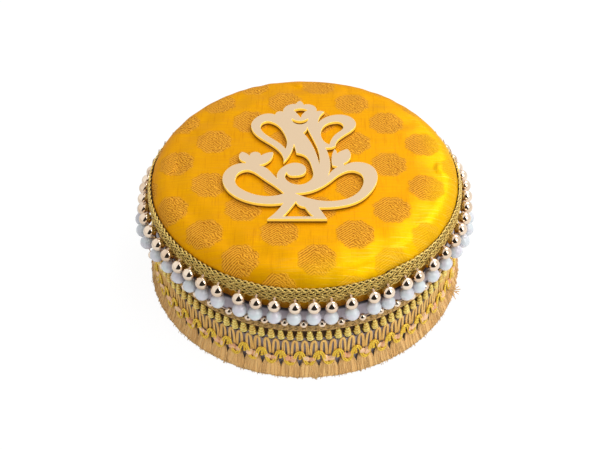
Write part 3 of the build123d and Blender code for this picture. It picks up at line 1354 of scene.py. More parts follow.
@dataclass
class Cover:
    """The brocade, cut round and drawn over the pad, down the wall and in at the foot."""

    form: LidForm
    pad: Object
    hem_top: float
    hem_radius: float = 64.45 * MM
    columns: int = 256
    thickness: float = 0.4 * MM
    over_pad: float = 0.52 * MM
    furthest: float = 1.5 * MM
    corner: float = 0.6 * MM
    hole: float = 1.2 * MM
    flat_rows: int = 34
    slope_rows: int = 11
    shoulder_rows: int = 24
    side_rows: int = 7
    corner_rows: int = 4
    hem_rows: int = 6
    before_shoulder: float = 3 * MM
    after_shoulder: float = 2 * MM
    cling: Pair = (7 * MM, 3 * MM)
    calm: Pair = (44 * MM, 50 * MM)
    gather: float = 0.12 * MM
    gather_reach: Triple = (5 * MM, 6 * MM, 8 * MM)
    wash: float = 0.09 * MM
    wash_reach: float = 22 * MM

    def profile(self) -> tuple[Array, Array, Array, Array]:
        """Lay out the cloth from the middle to the turned-in edge.

        Over the outside the points follow the lid's outline. Below it the cloth rounds a small corner, runs
        in under the wall, rounds a second corner and goes up inside.

        Returns:
            The radii, heights, outward leans and lengths from the middle.
        """
        flat, slope_end, side = self.form.bends
        start, end = slope_end - self.before_shoulder, side + self.after_shoulder
        low = self.form.bottom + self.corner
        run = np.concatenate([
            np.linspace(self.hole, flat, self.flat_rows, endpoint=False),
            np.linspace(flat, start, self.slope_rows, endpoint=False),
            np.linspace(start, end, self.shoulder_rows, endpoint=False),
            np.linspace(end, self.form.run_at(low), self.side_rows),
        ])
        radius, height, lean = self.form.at(run, 0.0)
        turn = np.linspace(0, math.pi / 2, self.corner_rows + 1)[1:]
        along, down = self.corner * np.cos(turn), self.corner * np.sin(turn)
        radius = np.concatenate([
            radius,
            self.form.radius - self.corner + along,
            self.hem_radius + self.corner - down,
            np.full(self.hem_rows, self.hem_radius),
        ])
        height = np.concatenate([
            height, low - down, low - along, np.linspace(low, self.hem_top, self.hem_rows + 1)[1:]
        ])
        inside = np.full(self.hem_rows, 3 * math.pi / 2)
        lean = np.concatenate([lean, math.pi / 2 + turn, math.pi + turn, inside])
        steps = np.hypot(np.diff(radius), np.diff(height))
        return radius, height, lean, run[0] + running(steps)

    def creases(self, angle: Array, length: Array) -> Array:
        """Press faint gathers into the cloth where it is drawn down under the braid.

        Short waves of two counts round the lid, each strong over its own stretch, fade out away from the
        shoulder. Broad waves lie over the slope.

        Args:
            angle: The angle of each column.
            length: The length from the middle of each row.

        Returns:
            How far each point sinks.
        """
        flat, slope_end, side = self.form.bends
        before, after, below = self.gather_reach
        near = ease(length, slope_end - before, slope_end + after) * (1 - ease(length, side, side + below))
        broad = ease(length, flat - self.wash_reach, slope_end) * (1 - ease(length, slope_end, side))
        ripple = np.sin(31 * angle + 2 * np.sin(3 * angle)) * np.sin(4 * angle + 0.7) ** 2
        ripple += 0.7 * np.sin(53 * angle + 1.3) * np.sin(3 * angle + 1.9) ** 2
        wash = np.sin(5 * angle + 0.6) + 0.6 * np.sin(8 * angle + 2.1)
        return near[:, None] * ripple * self.gather + broad[:, None] * wash * self.wash

    def cloth(self, radius: Array, height: Array, length: Array) -> Surface:
        """Turn the profile round the lid, and close it in the middle with a fan.

        A pattern place is the point of the flat cloth: the length from its middle, along the column's angle.

        Args:
            radius: The radius of each row.
            height: The height of each row.
            length: The length from the middle of each row.

        Returns:
            The cloth.
        """
        angle = np.arange(self.columns + 1) * TURN / self.columns
        flat = np.stack([length[:, None] * np.cos(angle), length[:, None] * np.sin(angle)], -1)
        sides = band(around(angle[None, :-1], radius[:, None], height[:, None]), flat)
        rim, count = np.arange(self.columns), len(sides.points)
        return replace(
            sides,
            points=np.append(sides.points, [[0.0, 0.0, self.form.top]], axis=0),
            fans=np.stack([rim, (rim + 1) % self.columns, np.full(self.columns, count)], -1),
            fan_places=np.stack([flat[0, :-1], flat[0, 1:], np.zeros((self.columns, 2))], axis=1),
            tints=np.full(count + 1, 0.5),
        )

    def draw(self, cover: Object) -> Array:
        """Draw the cloth straight down or up onto the pad.

        Args:
            cover: The cloth.

        Returns:
            Where its points come to lie.
        """
        wrap = cover.modifiers.new("wrap", "SHRINKWRAP")
        wrap.target = self.pad
        wrap.wrap_method = "PROJECT"
        wrap.use_positive_direction = wrap.use_negative_direction = True
        wrap.project_limit = self.furthest
        wrap.offset = self.over_pad
        settle(cover)
        return points_of(cover)

    def build(self) -> Object:
        """It clings to the pad up to the shoulder and keeps the outline beyond. Then the gathers are pressed
        in, and it is kept level under the figure.

        Returns:
            The cover.
        """
        radius, height, lean, length = self.profile()
        surface = self.cloth(radius, height, length)
        cover = surface.piece("brocade_cover", Brocade().material(), Body.LID)
        _, slope_end, _ = self.form.bends
        start, end = slope_end - self.cling[0], slope_end + self.cling[1]
        cling = 1 - ease(np.append(np.repeat(length, self.columns), 0.0), start, end)
        points = surface.points + (self.draw(cover) - surface.points) * cling[:, None]
        angle = np.arange(self.columns) * TURN / self.columns
        outward = around(angle[None], np.sin(lean)[:, None], np.cos(lean)[:, None])
        points[:-1] -= self.creases(angle, length).reshape(-1, 1) * outward.reshape(-1, 3)
        calm = 1 - ease(np.hypot(points[:, 0], points[:, 1]), *self.calm)
        points[:, 2] += calm * (np.minimum(points[:, 2], self.form.top) - points[:, 2])
        move_points(cover, points)
        thicken(cover, self.thickness)
        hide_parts("lid_cover")
        return cover


@dataclass
class Emblem:
    """The cut-out figure, which keeps its CAD shape and gets eased edges and a mirror finish."""

    eased: float = 0.5 * MM
    segments: int = 2
    sharp: float = math.radians(50)
    flat: float = math.radians(0.5)

    def build(self) -> None:
        """Ease the cut edges and finish the sheet."""
        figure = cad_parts["emblem"]
        figure.modifiers.new("weld", "WELD").merge_threshold = SAME_POINT
        merge = figure.modifiers.new("facets", "DECIMATE")
        merge.decimate_type = "DISSOLVE"
        merge.angle_limit = self.flat
        edges = figure.modifiers.new("edges", "BEVEL")
        edges.width = self.eased
        edges.segments = self.segments
        edges.limit_method = "ANGLE"
        edges.angle_limit = self.sharp
        figure.modifiers.new("normals", "WEIGHTED_NORMAL")
        figure.data.materials.clear()
        figure.data.materials.append(MirrorAcrylic(low=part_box("emblem")[0].z).material())


def chain(
    strip: Array, rows: Array, eyes: float, swing: float, lift: float, hands: Sequence[Hand]
) -> tuple[Array, Array, Array]:
    """Lay rows of chain stitch along a strip.

    Each row has two strands. They swing to either side of the row as a sine and change places over and under
    as a cosine, so every half wave leaves an eye, and the row's hand says which strand is on top.

    Args:
        strip: The angles along the strip, in order.
        rows: The middle of each row across the strip.
        eyes: The eyes in one full turn.
        swing: How far a strand goes to either side.
        lift: How far it rises and sinks.
        hands: The hand of each row.

    Returns:
        The angles, the places across and the rise of every strand, as (strands, points).
    """
    phase = strip * eyes / 2
    side = np.array([0.0, math.pi])[None, :, None]
    start = (np.arange(len(rows)) * math.pi / 2)[:, None, None]
    turned = np.array([hand.value for hand in hands])[:, None, None]
    swung = np.asarray(rows)[:, None, None] + swing * np.sin(phase + side + start)
    rise = lift * turned * np.cos(phase + side + start)
    shape = (2 * len(rows), len(strip))
    return np.broadcast_to(strip, shape), swung.reshape(shape), rise.reshape(shape)


@dataclass
class Braid:
    """The braid over the lid's shoulder: rows of chain stitch on a ribbon, with lapped ends."""

    form: LidForm
    top: float
    bottom: float
    rows: int = 4
    eye: float = 2.75 * MM
    points_an_eye: float = 5.1
    strand: float = 0.34 * MM
    uneven: float = 0.12
    swing: float = 0.68 * MM
    lift: float = 0.3 * MM
    drop: float = 1.1 * MM
    sag: float = 2.8 * MM
    rise: float = 0.82 * MM
    wander: Pair = (0.12 * MM, 0.1 * MM)
    lap_angle: float = math.radians(-61)
    lap: float = math.radians(9)
    lap_lift: float = 0.75 * MM
    lap_up: float = 0.9 * MM
    ribbon_rise: float = 0.3 * MM
    ribbon_above: float = 0.12 * MM
    ribbon_below: float = 0.1 * MM
    ribbon_inset: float = 0.25 * MM
    ribbon_steps: int = 420
    frayed: int = 16
    frayed_thread: float = 0.12 * MM
    loop_thread: float = 0.16 * MM
    finish: MetalThread = MetalThread(
        "zari_braid", srgb(255, 230, 134), srgb(164, 114, 42), 0.8 * MM, 0.65, 0.32
    )
    # Near-black ribbon: partly its own dark colour, partly painted shade for the slits between the stitches.
    ground: WovenGround = WovenGround("braid_ribbon", srgb(72, 43, 14), srgb(20, 12, 6))

    @property
    def edges(self) -> Pair:
        """The lengths over the cloth of the braid's upper and lower edge."""
        return self.form.run_at(self.top) + self.drop, self.form.run_at(self.bottom) + self.drop

    def over_end(self, angle: Array) -> Array:
        """Say how far the lapped start lies over the end: it comes down just past the lap."""
        return 1 - ease(angle, self.lap_angle + self.lap - 0.03, self.lap_angle + self.lap + 0.05)

    def shifted(self, angle: Array) -> Array:
        """Say how far the braid sits from its place: lower behind the box, and higher where it laps."""
        return self.sag * ease(np.sin(angle), -0.05, 0.35) - self.lap_up * self.over_end(angle)

    def strands(self) -> Surface:
        """Sweep all strands of the rows.

        Returns:
            The stitched rows.
        """
        upper, lower = self.edges
        eyes = round(TURN * self.form.radius / self.eye)
        strip = np.linspace(self.lap_angle, self.lap_angle + TURN + self.lap, int(eyes * self.points_an_eye))
        pitch = (lower - upper) / self.rows
        middles = upper + pitch * (np.arange(self.rows) + 0.5)
        hands = [Hand.LEFT if row % 2 else Hand.RIGHT for row in range(self.rows)]
        angle, across, rise = chain(strip, middles, eyes, self.swing, self.lift, hands)
        long, short = self.wander
        across = across + long * np.sin(17 * angle) + short * np.sin(41 * angle + 1) + self.shifted(angle)
        proud = self.rise + rise + self.lap_lift * self.over_end(angle)
        path, outward = self.form.points(angle, across, proud)
        thick = self.strand * (1 + self.uneven * np.sin(7 * angle + across / MM))
        return loft(sweep(path, outward, thick, thick * 1.08, 6))

    def ribbon(self) -> Surface:
        """Sweep the flat ribbon under the rows, lapped as they are.

        Returns:
            The ribbon.
        """
        upper, lower = self.edges
        strip = np.linspace(self.lap_angle, self.lap_angle + TURN + self.lap, self.ribbon_steps)
        share = np.linspace(0, 1, 9)
        width = lower - upper - 2 * self.ribbon_inset
        lengths = upper + self.ribbon_inset + width * np.concatenate([share, share[::-1]])
        rise = self.ribbon_rise + np.repeat([self.ribbon_above, -self.ribbon_below], len(share))
        lengths = lengths[None] + self.shifted(strip)[:, None]
        proud = rise[None] + self.lap_lift * self.over_end(strip)[:, None]
        points, _ = self.form.points(strip[:, None], lengths, proud)
        return loft(points[None])

    def loose_ends(self) -> Surface:
        """Draw the threads that fray from the lapped end, and the loop that stands up from it.

        Each thread leaves the cut end, keeps on round the lid for a few millimetres and curls outward as the
        square of its length. The loop is half a wave out and back.

        Returns:
            The loose threads.
        """
        random = np.random.default_rng(SEED)
        upper, lower = self.edges
        share = np.linspace(0, 1, 9)[None]
        many = (self.frayed, 1)
        start = random.uniform(upper - 0.5 * MM, lower - 0.8 * MM, many)
        length = random.uniform(0.8 * MM, 3.0 * MM, many) / self.form.radius
        drift = random.uniform(-1.0 * MM, 1.2 * MM, many)
        curl = random.uniform(0.0 * MM, 1.0 * MM, many)
        angle = self.lap_angle + math.radians(0.3) - length * share
        proud = self.rise + 0.65 * MM + curl * share**2
        path, outward = self.form.points(angle, start + drift * share**2, proud)
        frayed = loft(sweep(path, outward, self.frayed_thread, self.frayed_thread, 5))
        swing = np.linspace(0, math.pi, 16)[None]
        angle = self.lap_angle + math.radians(0.5) - math.radians(2.4) * np.sin(swing)
        across = upper - 0.4 * MM + 1.8 * MM * swing / math.pi
        path, outward = self.form.points(angle, across, self.rise + 0.6 * MM + 1.2 * MM * np.sin(swing))
        return frayed.joined(loft(sweep(path, outward, self.loop_thread, self.loop_thread, 5)))

    def build(self) -> None:
        """Make the braid and its ribbon."""
        thread = self.finish.material()
        braid = self.strands().joined(self.loose_ends()).piece("braid_stitches", thread, Body.LID)
        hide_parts("lid_braid")
        ribbon = self.ribbon().piece("braid_ribbon", self.ground.material(), Body.LID)


@dataclass
class BeadDrops:
    """The hanging drops: a gold bead over a pearl, a small gold bead between the pearls, and clear thread."""

    form: LidForm
    braid_bottom: float
    count: int = 60
    gold: float = 2.92 * MM
    pearl: float = 3.15 * MM
    spacer: float = 1.75 * MM
    gold_height: float = 45.1 * MM
    pearl_height: float = 39.1 * MM
    spacer_height: float = 35.4 * MM
    clear: float = 0.4 * MM
    thread: float = 0.22 * MM
    loop: float = 0.26 * MM
    anchor_rise: float = 2.2 * MM
    anchor_inside: float = 0.983
    sway: float = 0.25 * MM
    flare: float = 1.8 * MM
    sag: float = 3.0 * MM
    left_sag: float = 2.0 * MM
    first_angle: float = -157.5
    front_steps: tuple[float, ...] = (
        7.4, 7.0, 5.6, 6.0, 5.5, 6.3, 8.1, 5.4, 6.2, 6.4, 6.3, 5.9, 6.9, 7.5, 5.1, 7.5, 5.5, 6.7, 7.6, 6.8,
    )

    def hung(self) -> Array:
        """Give the angle of every drop.

        The front ones hang at the photograph's steps in degrees, the rest at even steps.

        Returns:
            The angles, in order round the lid.
        """
        rest = self.count - len(self.front_steps)
        even = (360 - sum(self.front_steps)) / rest
        steps = np.concatenate([self.front_steps, np.full(rest, even)])
        return np.radians(self.first_angle + running(steps)[:-1])

    def middles(self) -> tuple[Array, Array, Array]:
        """Hang the drops, and let each sway and turn a little.

        As in the photograph they swing outward near both sides. The string sags behind the box, and further
        at the left.

        Returns:
            The middles of the gold beads, the pearls and the small beads.
        """
        random = np.random.default_rng(SEED)
        angle = self.hung()
        after = np.append(angle[1:], angle[0] + TURN)
        back, right = np.sin(angle), np.cos(angle)
        reach = self.form.radius + self.clear + self.pearl
        shift = random.uniform(-self.sway, self.sway, self.count) / reach
        swing = random.uniform(-0.5, 0.5, self.count) * MM / reach
        slip = random.uniform(-0.35, 0.15, self.count) * MM - self.sag * ease(back, -0.05, 0.35)
        slip = slip - self.left_sag * ease(-right, 0.7, 0.95) * ease(back, -0.3, 0.15)
        out = self.flare * ease(np.abs(right), 0.78, 0.95) * ease(-back, 0.05, 0.3)
        pearl_reach = reach + out + random.uniform(0, 0.35, self.count) * MM
        pearls = around(angle + shift, pearl_reach, self.pearl_height + slip)
        gold_reach = self.form.radius + self.clear + self.gold + out * 0.3
        golds = around(angle + shift + swing, gold_reach, self.gold_height + slip)
        between = (angle + after + shift + np.roll(shift, -1)) / 2
        small = around(
            between + random.uniform(-0.3, 0.3, self.count) * MM / reach,
            reach + out - random.uniform(-0.2, 0.5, self.count) * MM,
            self.spacer_height + slip + random.uniform(-0.4, 0.4, self.count) * MM,
        )
        return golds, pearls, small

    def threads(self, golds: Array, pearls: Array, small: Array) -> Surface:
        """Draw the clear thread.

        A thread leaves the braid's foot, opens into a small loop over each gold bead and closes on its top.
        Another hangs from each pearl through the small bead to the next pearl, in two straight runs.

        Args:
            golds: The middles of the gold beads.
            pearls: The middles of the pearls.
            small: The middles of the small beads.

        Returns:
            All threads.
        """
        share = np.linspace(0, 1, 8)[None, :, None]
        outward = around(np.arctan2(golds[:, 1], golds[:, 0]), 1.0, 0.0)
        along = np.cross(np.array([0.0, 0.0, 1.0]), outward)
        top = golds + np.array([0, 0, self.gold * 0.96])
        foot_height = np.array([0, 0, self.braid_bottom + self.anchor_rise])
        anchor = golds * np.array([1, 1, 0]) * self.anchor_inside + foot_height
        sides = np.array([-1.0, 1.0])[:, None, None, None]
        bow = np.sin(math.pi * share) * along[:, None] * self.loop
        loops = (anchor[:, None] * (1 - share) + top[:, None] * share + bow * sides).reshape(-1, 8, 3)
        loop_out = np.broadcast_to(outward[None, :, None], (2, self.count, 8, 3)).reshape(-1, 8, 3)
        foot = pearls - np.array([0, 0, self.pearl * 0.9])
        left = foot[:, None] * (1 - share) + small[:, None] * share
        right = small[:, None] * (1 - share) + np.roll(foot, -1, axis=0)[:, None] * share
        swags = np.concatenate([left, right[:, 1:]], axis=1)
        swag_out = np.broadcast_to(outward[:, None], swags.shape)
        looped = loft(sweep(loops, loop_out, self.thread, self.thread, 5))
        return looped.joined(loft(sweep(swags, swag_out, self.thread, self.thread, 5)))

    def build(self) -> None:
        """Make the beads and their thread."""
        golds, pearls, small = self.middles()
        random = np.random.default_rng(SEED + 1)
        plating = PlatedBead().material()
        gold = balls(golds, self.gold * random.uniform(0.96, 1.0, self.count), 13, 22)
        little = balls(small, self.spacer * random.uniform(0.95, 1.03, self.count), 9, 16)
        pearl = balls(pearls, self.pearl * random.uniform(0.97, 1.0, self.count), 13, 22)
        for name, surface, material, node, slot in (
            ("drop_gold_beads", gold, plating, "gold_beads", "gold_bead"),
            ("drop_pearls", pearl, PearlLacquer().material(), "pearl_beads", "pearl"),
            ("drop_small_beads", little, plating, "spacer_beads", "gold_bead"),
        ):
            piece = surface.piece(name, material, Body.LID)
            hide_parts(node)
        self.threads(golds, pearls, small).piece("drop_threads", ClearThread().material(), Body.LID)


# The base


@dataclass
class BaseWrap:
    """The silver cloth glued round the base and over its top edge."""

    radius: float
    top: float
    bottom: float
    lace_top: float
    inner: float = 64.05 * MM
    columns: int = 240
    rows: int = 16
    corner_rows: int = 6
    rim_rows: int = 5
    thickness: float = 0.35 * MM
    corner: float = 0.9 * MM
    slack: float = 0.05 * MM

    def build(self) -> None:
        """Wrap the cloth: up the outside, round the top corner and in over the rim.

        Between its glued edges it is slack: it dips inward as half a wave of its height times uneven waves.
        """
        turn = np.linspace(0, math.pi / 2, self.corner_rows + 1)[1:]
        radius = np.concatenate([
            np.full(self.rows, self.radius),
            self.radius - self.corner * (1 - np.cos(turn)),
            np.linspace(self.radius - self.corner, self.inner, self.rim_rows + 1)[1:],
        ])
        height = np.concatenate([
            np.linspace(self.bottom, self.top - self.corner, self.rows),
            self.top - self.corner * (1 - np.sin(turn)),
            np.full(self.rim_rows, self.top),
        ])
        length = running(np.hypot(np.diff(radius), np.diff(height)))
        angle = np.arange(self.columns) * TURN / self.columns
        ripple = self.slack * np.sin(23 * angle + 2 * np.sin(2 * angle))
        dip = np.minimum(ripple * np.sin(height / self.top * math.pi)[:, None], 0)
        rows = around(angle[None], radius[:, None] + dip, height[:, None])
        spread = np.arange(self.columns + 1) * TURN / self.columns * self.radius
        places = np.stack(np.broadcast_arrays(spread[None], length[:, None]), -1)
        cloth = SatinCloth(rim=self.top, radius=self.radius, lace=self.lace_top).material()
        wrap = band(rows[::-1], places[::-1]).piece("silver_wrap", cloth, Body.BASE)
        thicken(wrap, self.thickness)
        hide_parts("base_wrap")
        TURN * self.radius


@dataclass(frozen=True)
class LaceRepeat:
    """The lace's repeat: how many waves it has, and the angle at which one of its bowls hangs."""

    waves: int = 54
    bowl: float = math.radians(-88.4)

    @property
    def step(self) -> float:
        """The angle of one wave."""
        return TURN / self.waves

    def bowls(self) -> Array:
        """Give the angle of every bowl."""
        return self.bowl + np.arange(self.waves) * self.step


@dataclass
class Lace:
    """The gold lace: header, wrapped picots, hairpin threads, scrolling gimp and sequins."""

    inner: float
    header_top: float
    repeat: LaceRepeat = LaceRepeat()
    header_height: float = 2.9 * MM
    header_eyes: int = 164
    header_swing: float = 0.42 * MM
    header_lift: float = 0.2 * MM
    header_out: float = 0.5 * MM
    header_thread: float = 0.19 * MM
    ground_scallop: float = 1.5 * MM
    ground_below: float = 1.3 * MM
    picot_height: float = 5.1 * MM
    picot_turns: float = 3.4
    picot_top: float = 0.85 * MM
    picot_foot: float = 1.62 * MM
    picot_out: float = 0.95 * MM
    ridge: float = 0.2
    hairpin_spreads: Pair = (0.78 * MM, 1.36 * MM)
    hairpin_thread: float = 0.34 * MM
    hairpin_bend: float = 3.0
    hairpin_lean: float = 0.3 * MM
    hairpin_drop: float = 1.5 * MM
    hairpin_step: float = 0.5 * MM
    hairpin_foot: float = 0.6 * MM
    hairpin_out: Triple = (0.5 * MM, 0.3 * MM, 0.35 * MM)
    gimp_middle: float = 11.1 * MM
    gimp_swing: float = 3.5 * MM
    gimp_steep: float = 0.3 * MM
    gimp_out: float = 1.8 * MM
    gimp_lean: float = 0.35 * MM
    gimp_steps: int = 22
    cord: float = 0.42 * MM
    knot_rise: float = 2.3 * MM
    knot_height: float = 4.0 * MM
    knot_halves: Pair = (0.62 * MM, 0.86 * MM)
    knot_out: float = 1.0 * MM
    sequin_out: float = 1.7 * MM
    sequin_drop: float = 0.7 * MM
    sequin_shape: tuple[Pair, ...] = ((0.9, -0.3), (1.0, 0.05), (0.55, 0.5))
    gold: MetalThread = MetalThread(
        "zari_picot", srgb(255, 244, 144), srgb(212, 148, 44), 1.5 * MM, 0.45, 0.28
    )
    tan: MetalThread = MetalThread(
        "zari_hairpin", srgb(255, 220, 132), srgb(218, 154, 70), 0.7 * MM, 0.15, 0.45
    )
    brown: MetalThread = MetalThread(
        "zari_header", srgb(255, 218, 142), srgb(150, 94, 38), 0.7 * MM, 0.3, 0.4
    )
    bright: MetalThread = MetalThread(
        "zari_gimp", srgb(255, 228, 84), srgb(220, 156, 28), 0.9 * MM, 0.4, 0.32
    )
    # Dark brown ground: partly its own colour, partly painted shade for the deep gaps between the picots.
    ground: WovenGround = WovenGround("lace_ground", srgb(112, 70, 30), srgb(46, 24, 8), 0.6 * MM)

    @property
    def picot_angles(self) -> Array:
        """The angles of the picots: one over each bowl and one over each crest."""
        return self.repeat.bowl + np.arange(2 * self.repeat.waves) * self.repeat.step / 2

    @property
    def header_low(self) -> float:
        """The height of the header's lower edge."""
        return self.header_top - self.header_height

    def header(self) -> None:
        """Stitch the header: three rows of fine chain between two edge threads."""
        count = self.header_eyes * 4
        strip = np.arange(count) * TURN / count
        rows = self.header_low + self.header_height * np.array([0.2, 0.5, 0.8])
        hands = [Hand.RIGHT, Hand.LEFT, Hand.RIGHT]
        eyes, swing, lift = self.header_eyes, self.header_swing, self.header_lift
        angle, height, rise = chain(strip, rows, eyes, swing, lift, hands)
        edge_heights = np.array([self.header_low, self.header_top - 0.1 * MM])[:, None]
        angle = np.concatenate([angle, np.broadcast_to(strip, (2, count))])
        height = np.concatenate([height, edge_heights + 0.07 * MM * np.sin(59 * strip)])
        rise = np.concatenate([rise, np.full((2, count), 0.05 * MM)])
        path = around(angle, self.inner + self.header_out + rise, height)
        threads = sweep(path, around(angle, 1.0, 0.0), self.header_thread, self.header_thread, 5, closed=True)
        piece = loft(threads).piece("lace_header_mesh", self.brown.material(), Body.BASE)
        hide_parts("lace_header")

    def back(self) -> None:
        """Weave the dense ground that closes the gaps between the picots, scalloped as they are."""
        low = self.header_low - self.picot_height - self.ground_below
        high = self.header_top - 0.1 * MM
        section = np.array([(0.04, high), (0.2, high), (0.2, low), (0.04, low)])
        columns = self.repeat.waves * 12
        angle = np.arange(columns) * TURN / columns
        scallop = self.ground_scallop * np.cos(2 * self.repeat.waves * (angle - self.repeat.bowl))
        radius = self.inner + section[:, 0] * MM
        height = section[:, 1][None] - np.array([0, 0, 1, 1])[None] * scallop[:, None]
        surface = loft(around(angle[:, None], radius[None], height)[None], closed=True)
        piece = surface.piece("lace_ground", self.ground.material(), Body.BASE, smooth=False)

    def wrapped(
        self, angles: Array, top: float, height: float, halves: Pair, proud: float
    ) -> Surface:
        """Wind ears of cord.

        An ear's half width grows evenly from its top to its foot and rounds off at both ends. Ridges wind
        round it, so its radius rises and falls as a cosine of the way down plus the turn.

        Args:
            angles: The angle of each ear.
            top: The height of its top.
            height: Its own height.
            halves: Its half width at the top and at the foot.
            proud: How far its middle stands out from the lace's inner side.

        Returns:
            The surface of all ears.
        """
        random = np.random.default_rng(SEED + 2)
        rings, sides = 17, 10
        down = np.linspace(0.02, 0.985, rings)[None, :, None]
        turn = (np.arange(sides) / sides)[None, None, :]
        each = (len(angles), 1, 1)
        size = random.uniform(0.93, 1.05, each)
        width = halves[0] + (halves[1] - halves[0]) * down
        width = width * np.sqrt(1 - np.clip((down - 0.84) / 0.16, 0, 1) ** 2)
        width = width * (0.5 + 0.5 * ease(down, 0.0, 0.12))
        turns = self.picot_turns * height / self.picot_height
        half = size * width * (1 + self.ridge * np.cos(TURN * (turns * down + turn) - 0.9))
        across = half * np.sin(TURN * turn) + random.uniform(-0.25, 0.25, each) * MM * down
        out = self.inner + proud + 0.8 * half * np.cos(TURN * turn)
        return loft(around(angles[:, None, None] + across / self.inner, out, top - height * down))

    def picot_row(self) -> None:
        """Wind the picots under the header."""
        halves = (self.picot_top, self.picot_foot)
        top = self.header_low + 0.2 * MM
        surface = self.wrapped(self.picot_angles, top, self.picot_height, halves, self.picot_out)
        piece = surface.piece("lace_picot_row", self.gold.material(), Body.BASE)
        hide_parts("lace_picots")

    def hairpins(self) -> None:
        """Bend the hairpins, one between each picot and the next.

        A hairpin goes sideways as a hyperbolic tangent, which flattens into two upright legs, and down as a
        power of the same share. Two threads lie side by side in each, and the legs lean towards the nearest
        bowl.
        """
        random = np.random.default_rng(SEED + 3)
        share = np.linspace(-1, 1, 17)[None, :]
        gone = np.abs(share)
        count = len(self.picot_angles)
        angle = (self.picot_angles + self.repeat.step / 4)[:, None]
        near_bowl = np.where(np.arange(count) % 2, 1.0, -1.0)[:, None]
        top = self.header_low - self.picot_height - self.hairpin_drop
        low = self.gimp_middle + self.hairpin_foot
        bent = np.tanh(self.hairpin_bend * share) / math.tanh(self.hairpin_bend)
        start, arch, flare = self.hairpin_out
        out = self.inner + start + arch * (1 - share**2) + flare * ease(gone, 0.5, 1.0)
        paths = []
        for strand, spread in enumerate(self.hairpin_spreads):
            sway = random.uniform(-0.14, 0.14, (count, 1)) * MM
            across = spread * bent + sway * gone + near_bowl * self.hairpin_lean * gone**2
            height = top + self.hairpin_step * strand - (top - low) * gone**1.6
            paths.append(around(angle + across / self.inner, out, height))
        path = np.concatenate(paths)
        outward = around(np.arctan2(path[..., 1], path[..., 0]), 1.0, 0.0)
        surface = loft(sweep(path, outward, self.hairpin_thread, self.hairpin_thread, 6))
        piece = surface.piece("lace_hairpins", self.tan.material(), Body.BASE)
        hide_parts("lace_net")

    def gimp(self) -> None:
        """Scroll the gimp: a double cord that waves between crests and bowls, with a knot inside each crest.

        Along the wave the height is a sine, and the angle runs fast over crests and bowls and slowly between
        them, which leaves the sides of the wave steep.
        """
        count = self.repeat.waves * self.gimp_steps
        turn = np.arange(count)[None] * TURN / count
        phase = turn * self.repeat.waves - math.pi / 2
        angle = self.repeat.bowl + turn - self.gimp_steep / self.inner * np.sin(2 * phase)
        angle = angle + 0.1 * MM / self.inner * np.sin(9 * turn)
        height = self.gimp_middle + self.gimp_swing * np.sin(phase) + 0.15 * MM * np.sin(13 * turn)
        out = self.inner + self.gimp_out - self.gimp_lean * np.sin(phase)
        path, outward = around(angle, out, height), around(angle, 1.0, 0.0)
        across = np.cross(np.roll(path, -1, axis=1) - np.roll(path, 1, axis=1), outward)
        across /= np.linalg.norm(across, axis=-1, keepdims=True)
        cords = np.concatenate([path + across * self.cord, path - across * self.cord])
        outs = np.concatenate([outward, outward])
        surface = loft(sweep(cords, outs, self.cord * 1.1, self.cord, 7, closed=True))
        crests = self.repeat.bowls() + self.repeat.step / 2
        top = self.gimp_middle + self.knot_rise
        knots = self.wrapped(crests, top, self.knot_height, self.knot_halves, self.knot_out)
        piece = surface.joined(knots).piece("lace_gimp_cords", self.bright.material(), Body.BASE)
        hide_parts("lace_gimp")

    def sequins(self) -> None:
        """Sew a folded pair of faceted sequins into each bowl of the gimp.

        A sequin is three eight-sided rings, from its back rim to its smaller front. The two of a pair lean
        towards each other as the halves of a folded sheet do, and turn apart at the top.
        """
        random = np.random.default_rng(SEED + 4)
        side = np.repeat([-1.0, 1.0], self.repeat.waves)
        total = len(side)
        angle = np.tile(self.repeat.bowls(), 2) + (side * 1.02 - 0.1) * MM / self.inner
        height = self.gimp_middle - self.sequin_drop - side * 0.2 * MM
        height = height + random.uniform(-0.25, 0.25, total) * MM
        radius = random.uniform(1.25, 1.42, total) * MM
        fold = side * 0.45 + random.uniform(-0.3, 0.3, total)
        nod = random.uniform(-0.1, 0.6, total)
        facet = (np.arange(8) + 0.5) * TURN / 8
        ring, depth = np.array(self.sequin_shape).T[..., None]
        wide, tall = ring * np.cos(facet), ring * np.sin(facet) * 1.5
        turned = side[:, None, None] * 0.55
        u = wide * np.cos(turned) + tall * np.sin(turned)
        v = tall * np.cos(turned) - wide * np.sin(turned)
        size = radius[:, None, None]
        rise = size * (depth * 0.75 + fold[:, None, None] * u - nod[:, None, None] * v * 0.7)
        at = angle[:, None, None] + size * u / self.inner
        rings = around(at, self.inner + self.sequin_out + rise, height[:, None, None] + size * v)
        piece = loft(rings).piece("lace_sequins", SequinFilm().material(), Body.BASE, smooth=False)
        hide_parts("gimp_sequins")

    def build(self) -> None:
        """Make every row of the lace."""
        self.header()
        self.back()
        self.picot_row()
        self.hairpins()
        self.gimp()
        self.sequins()


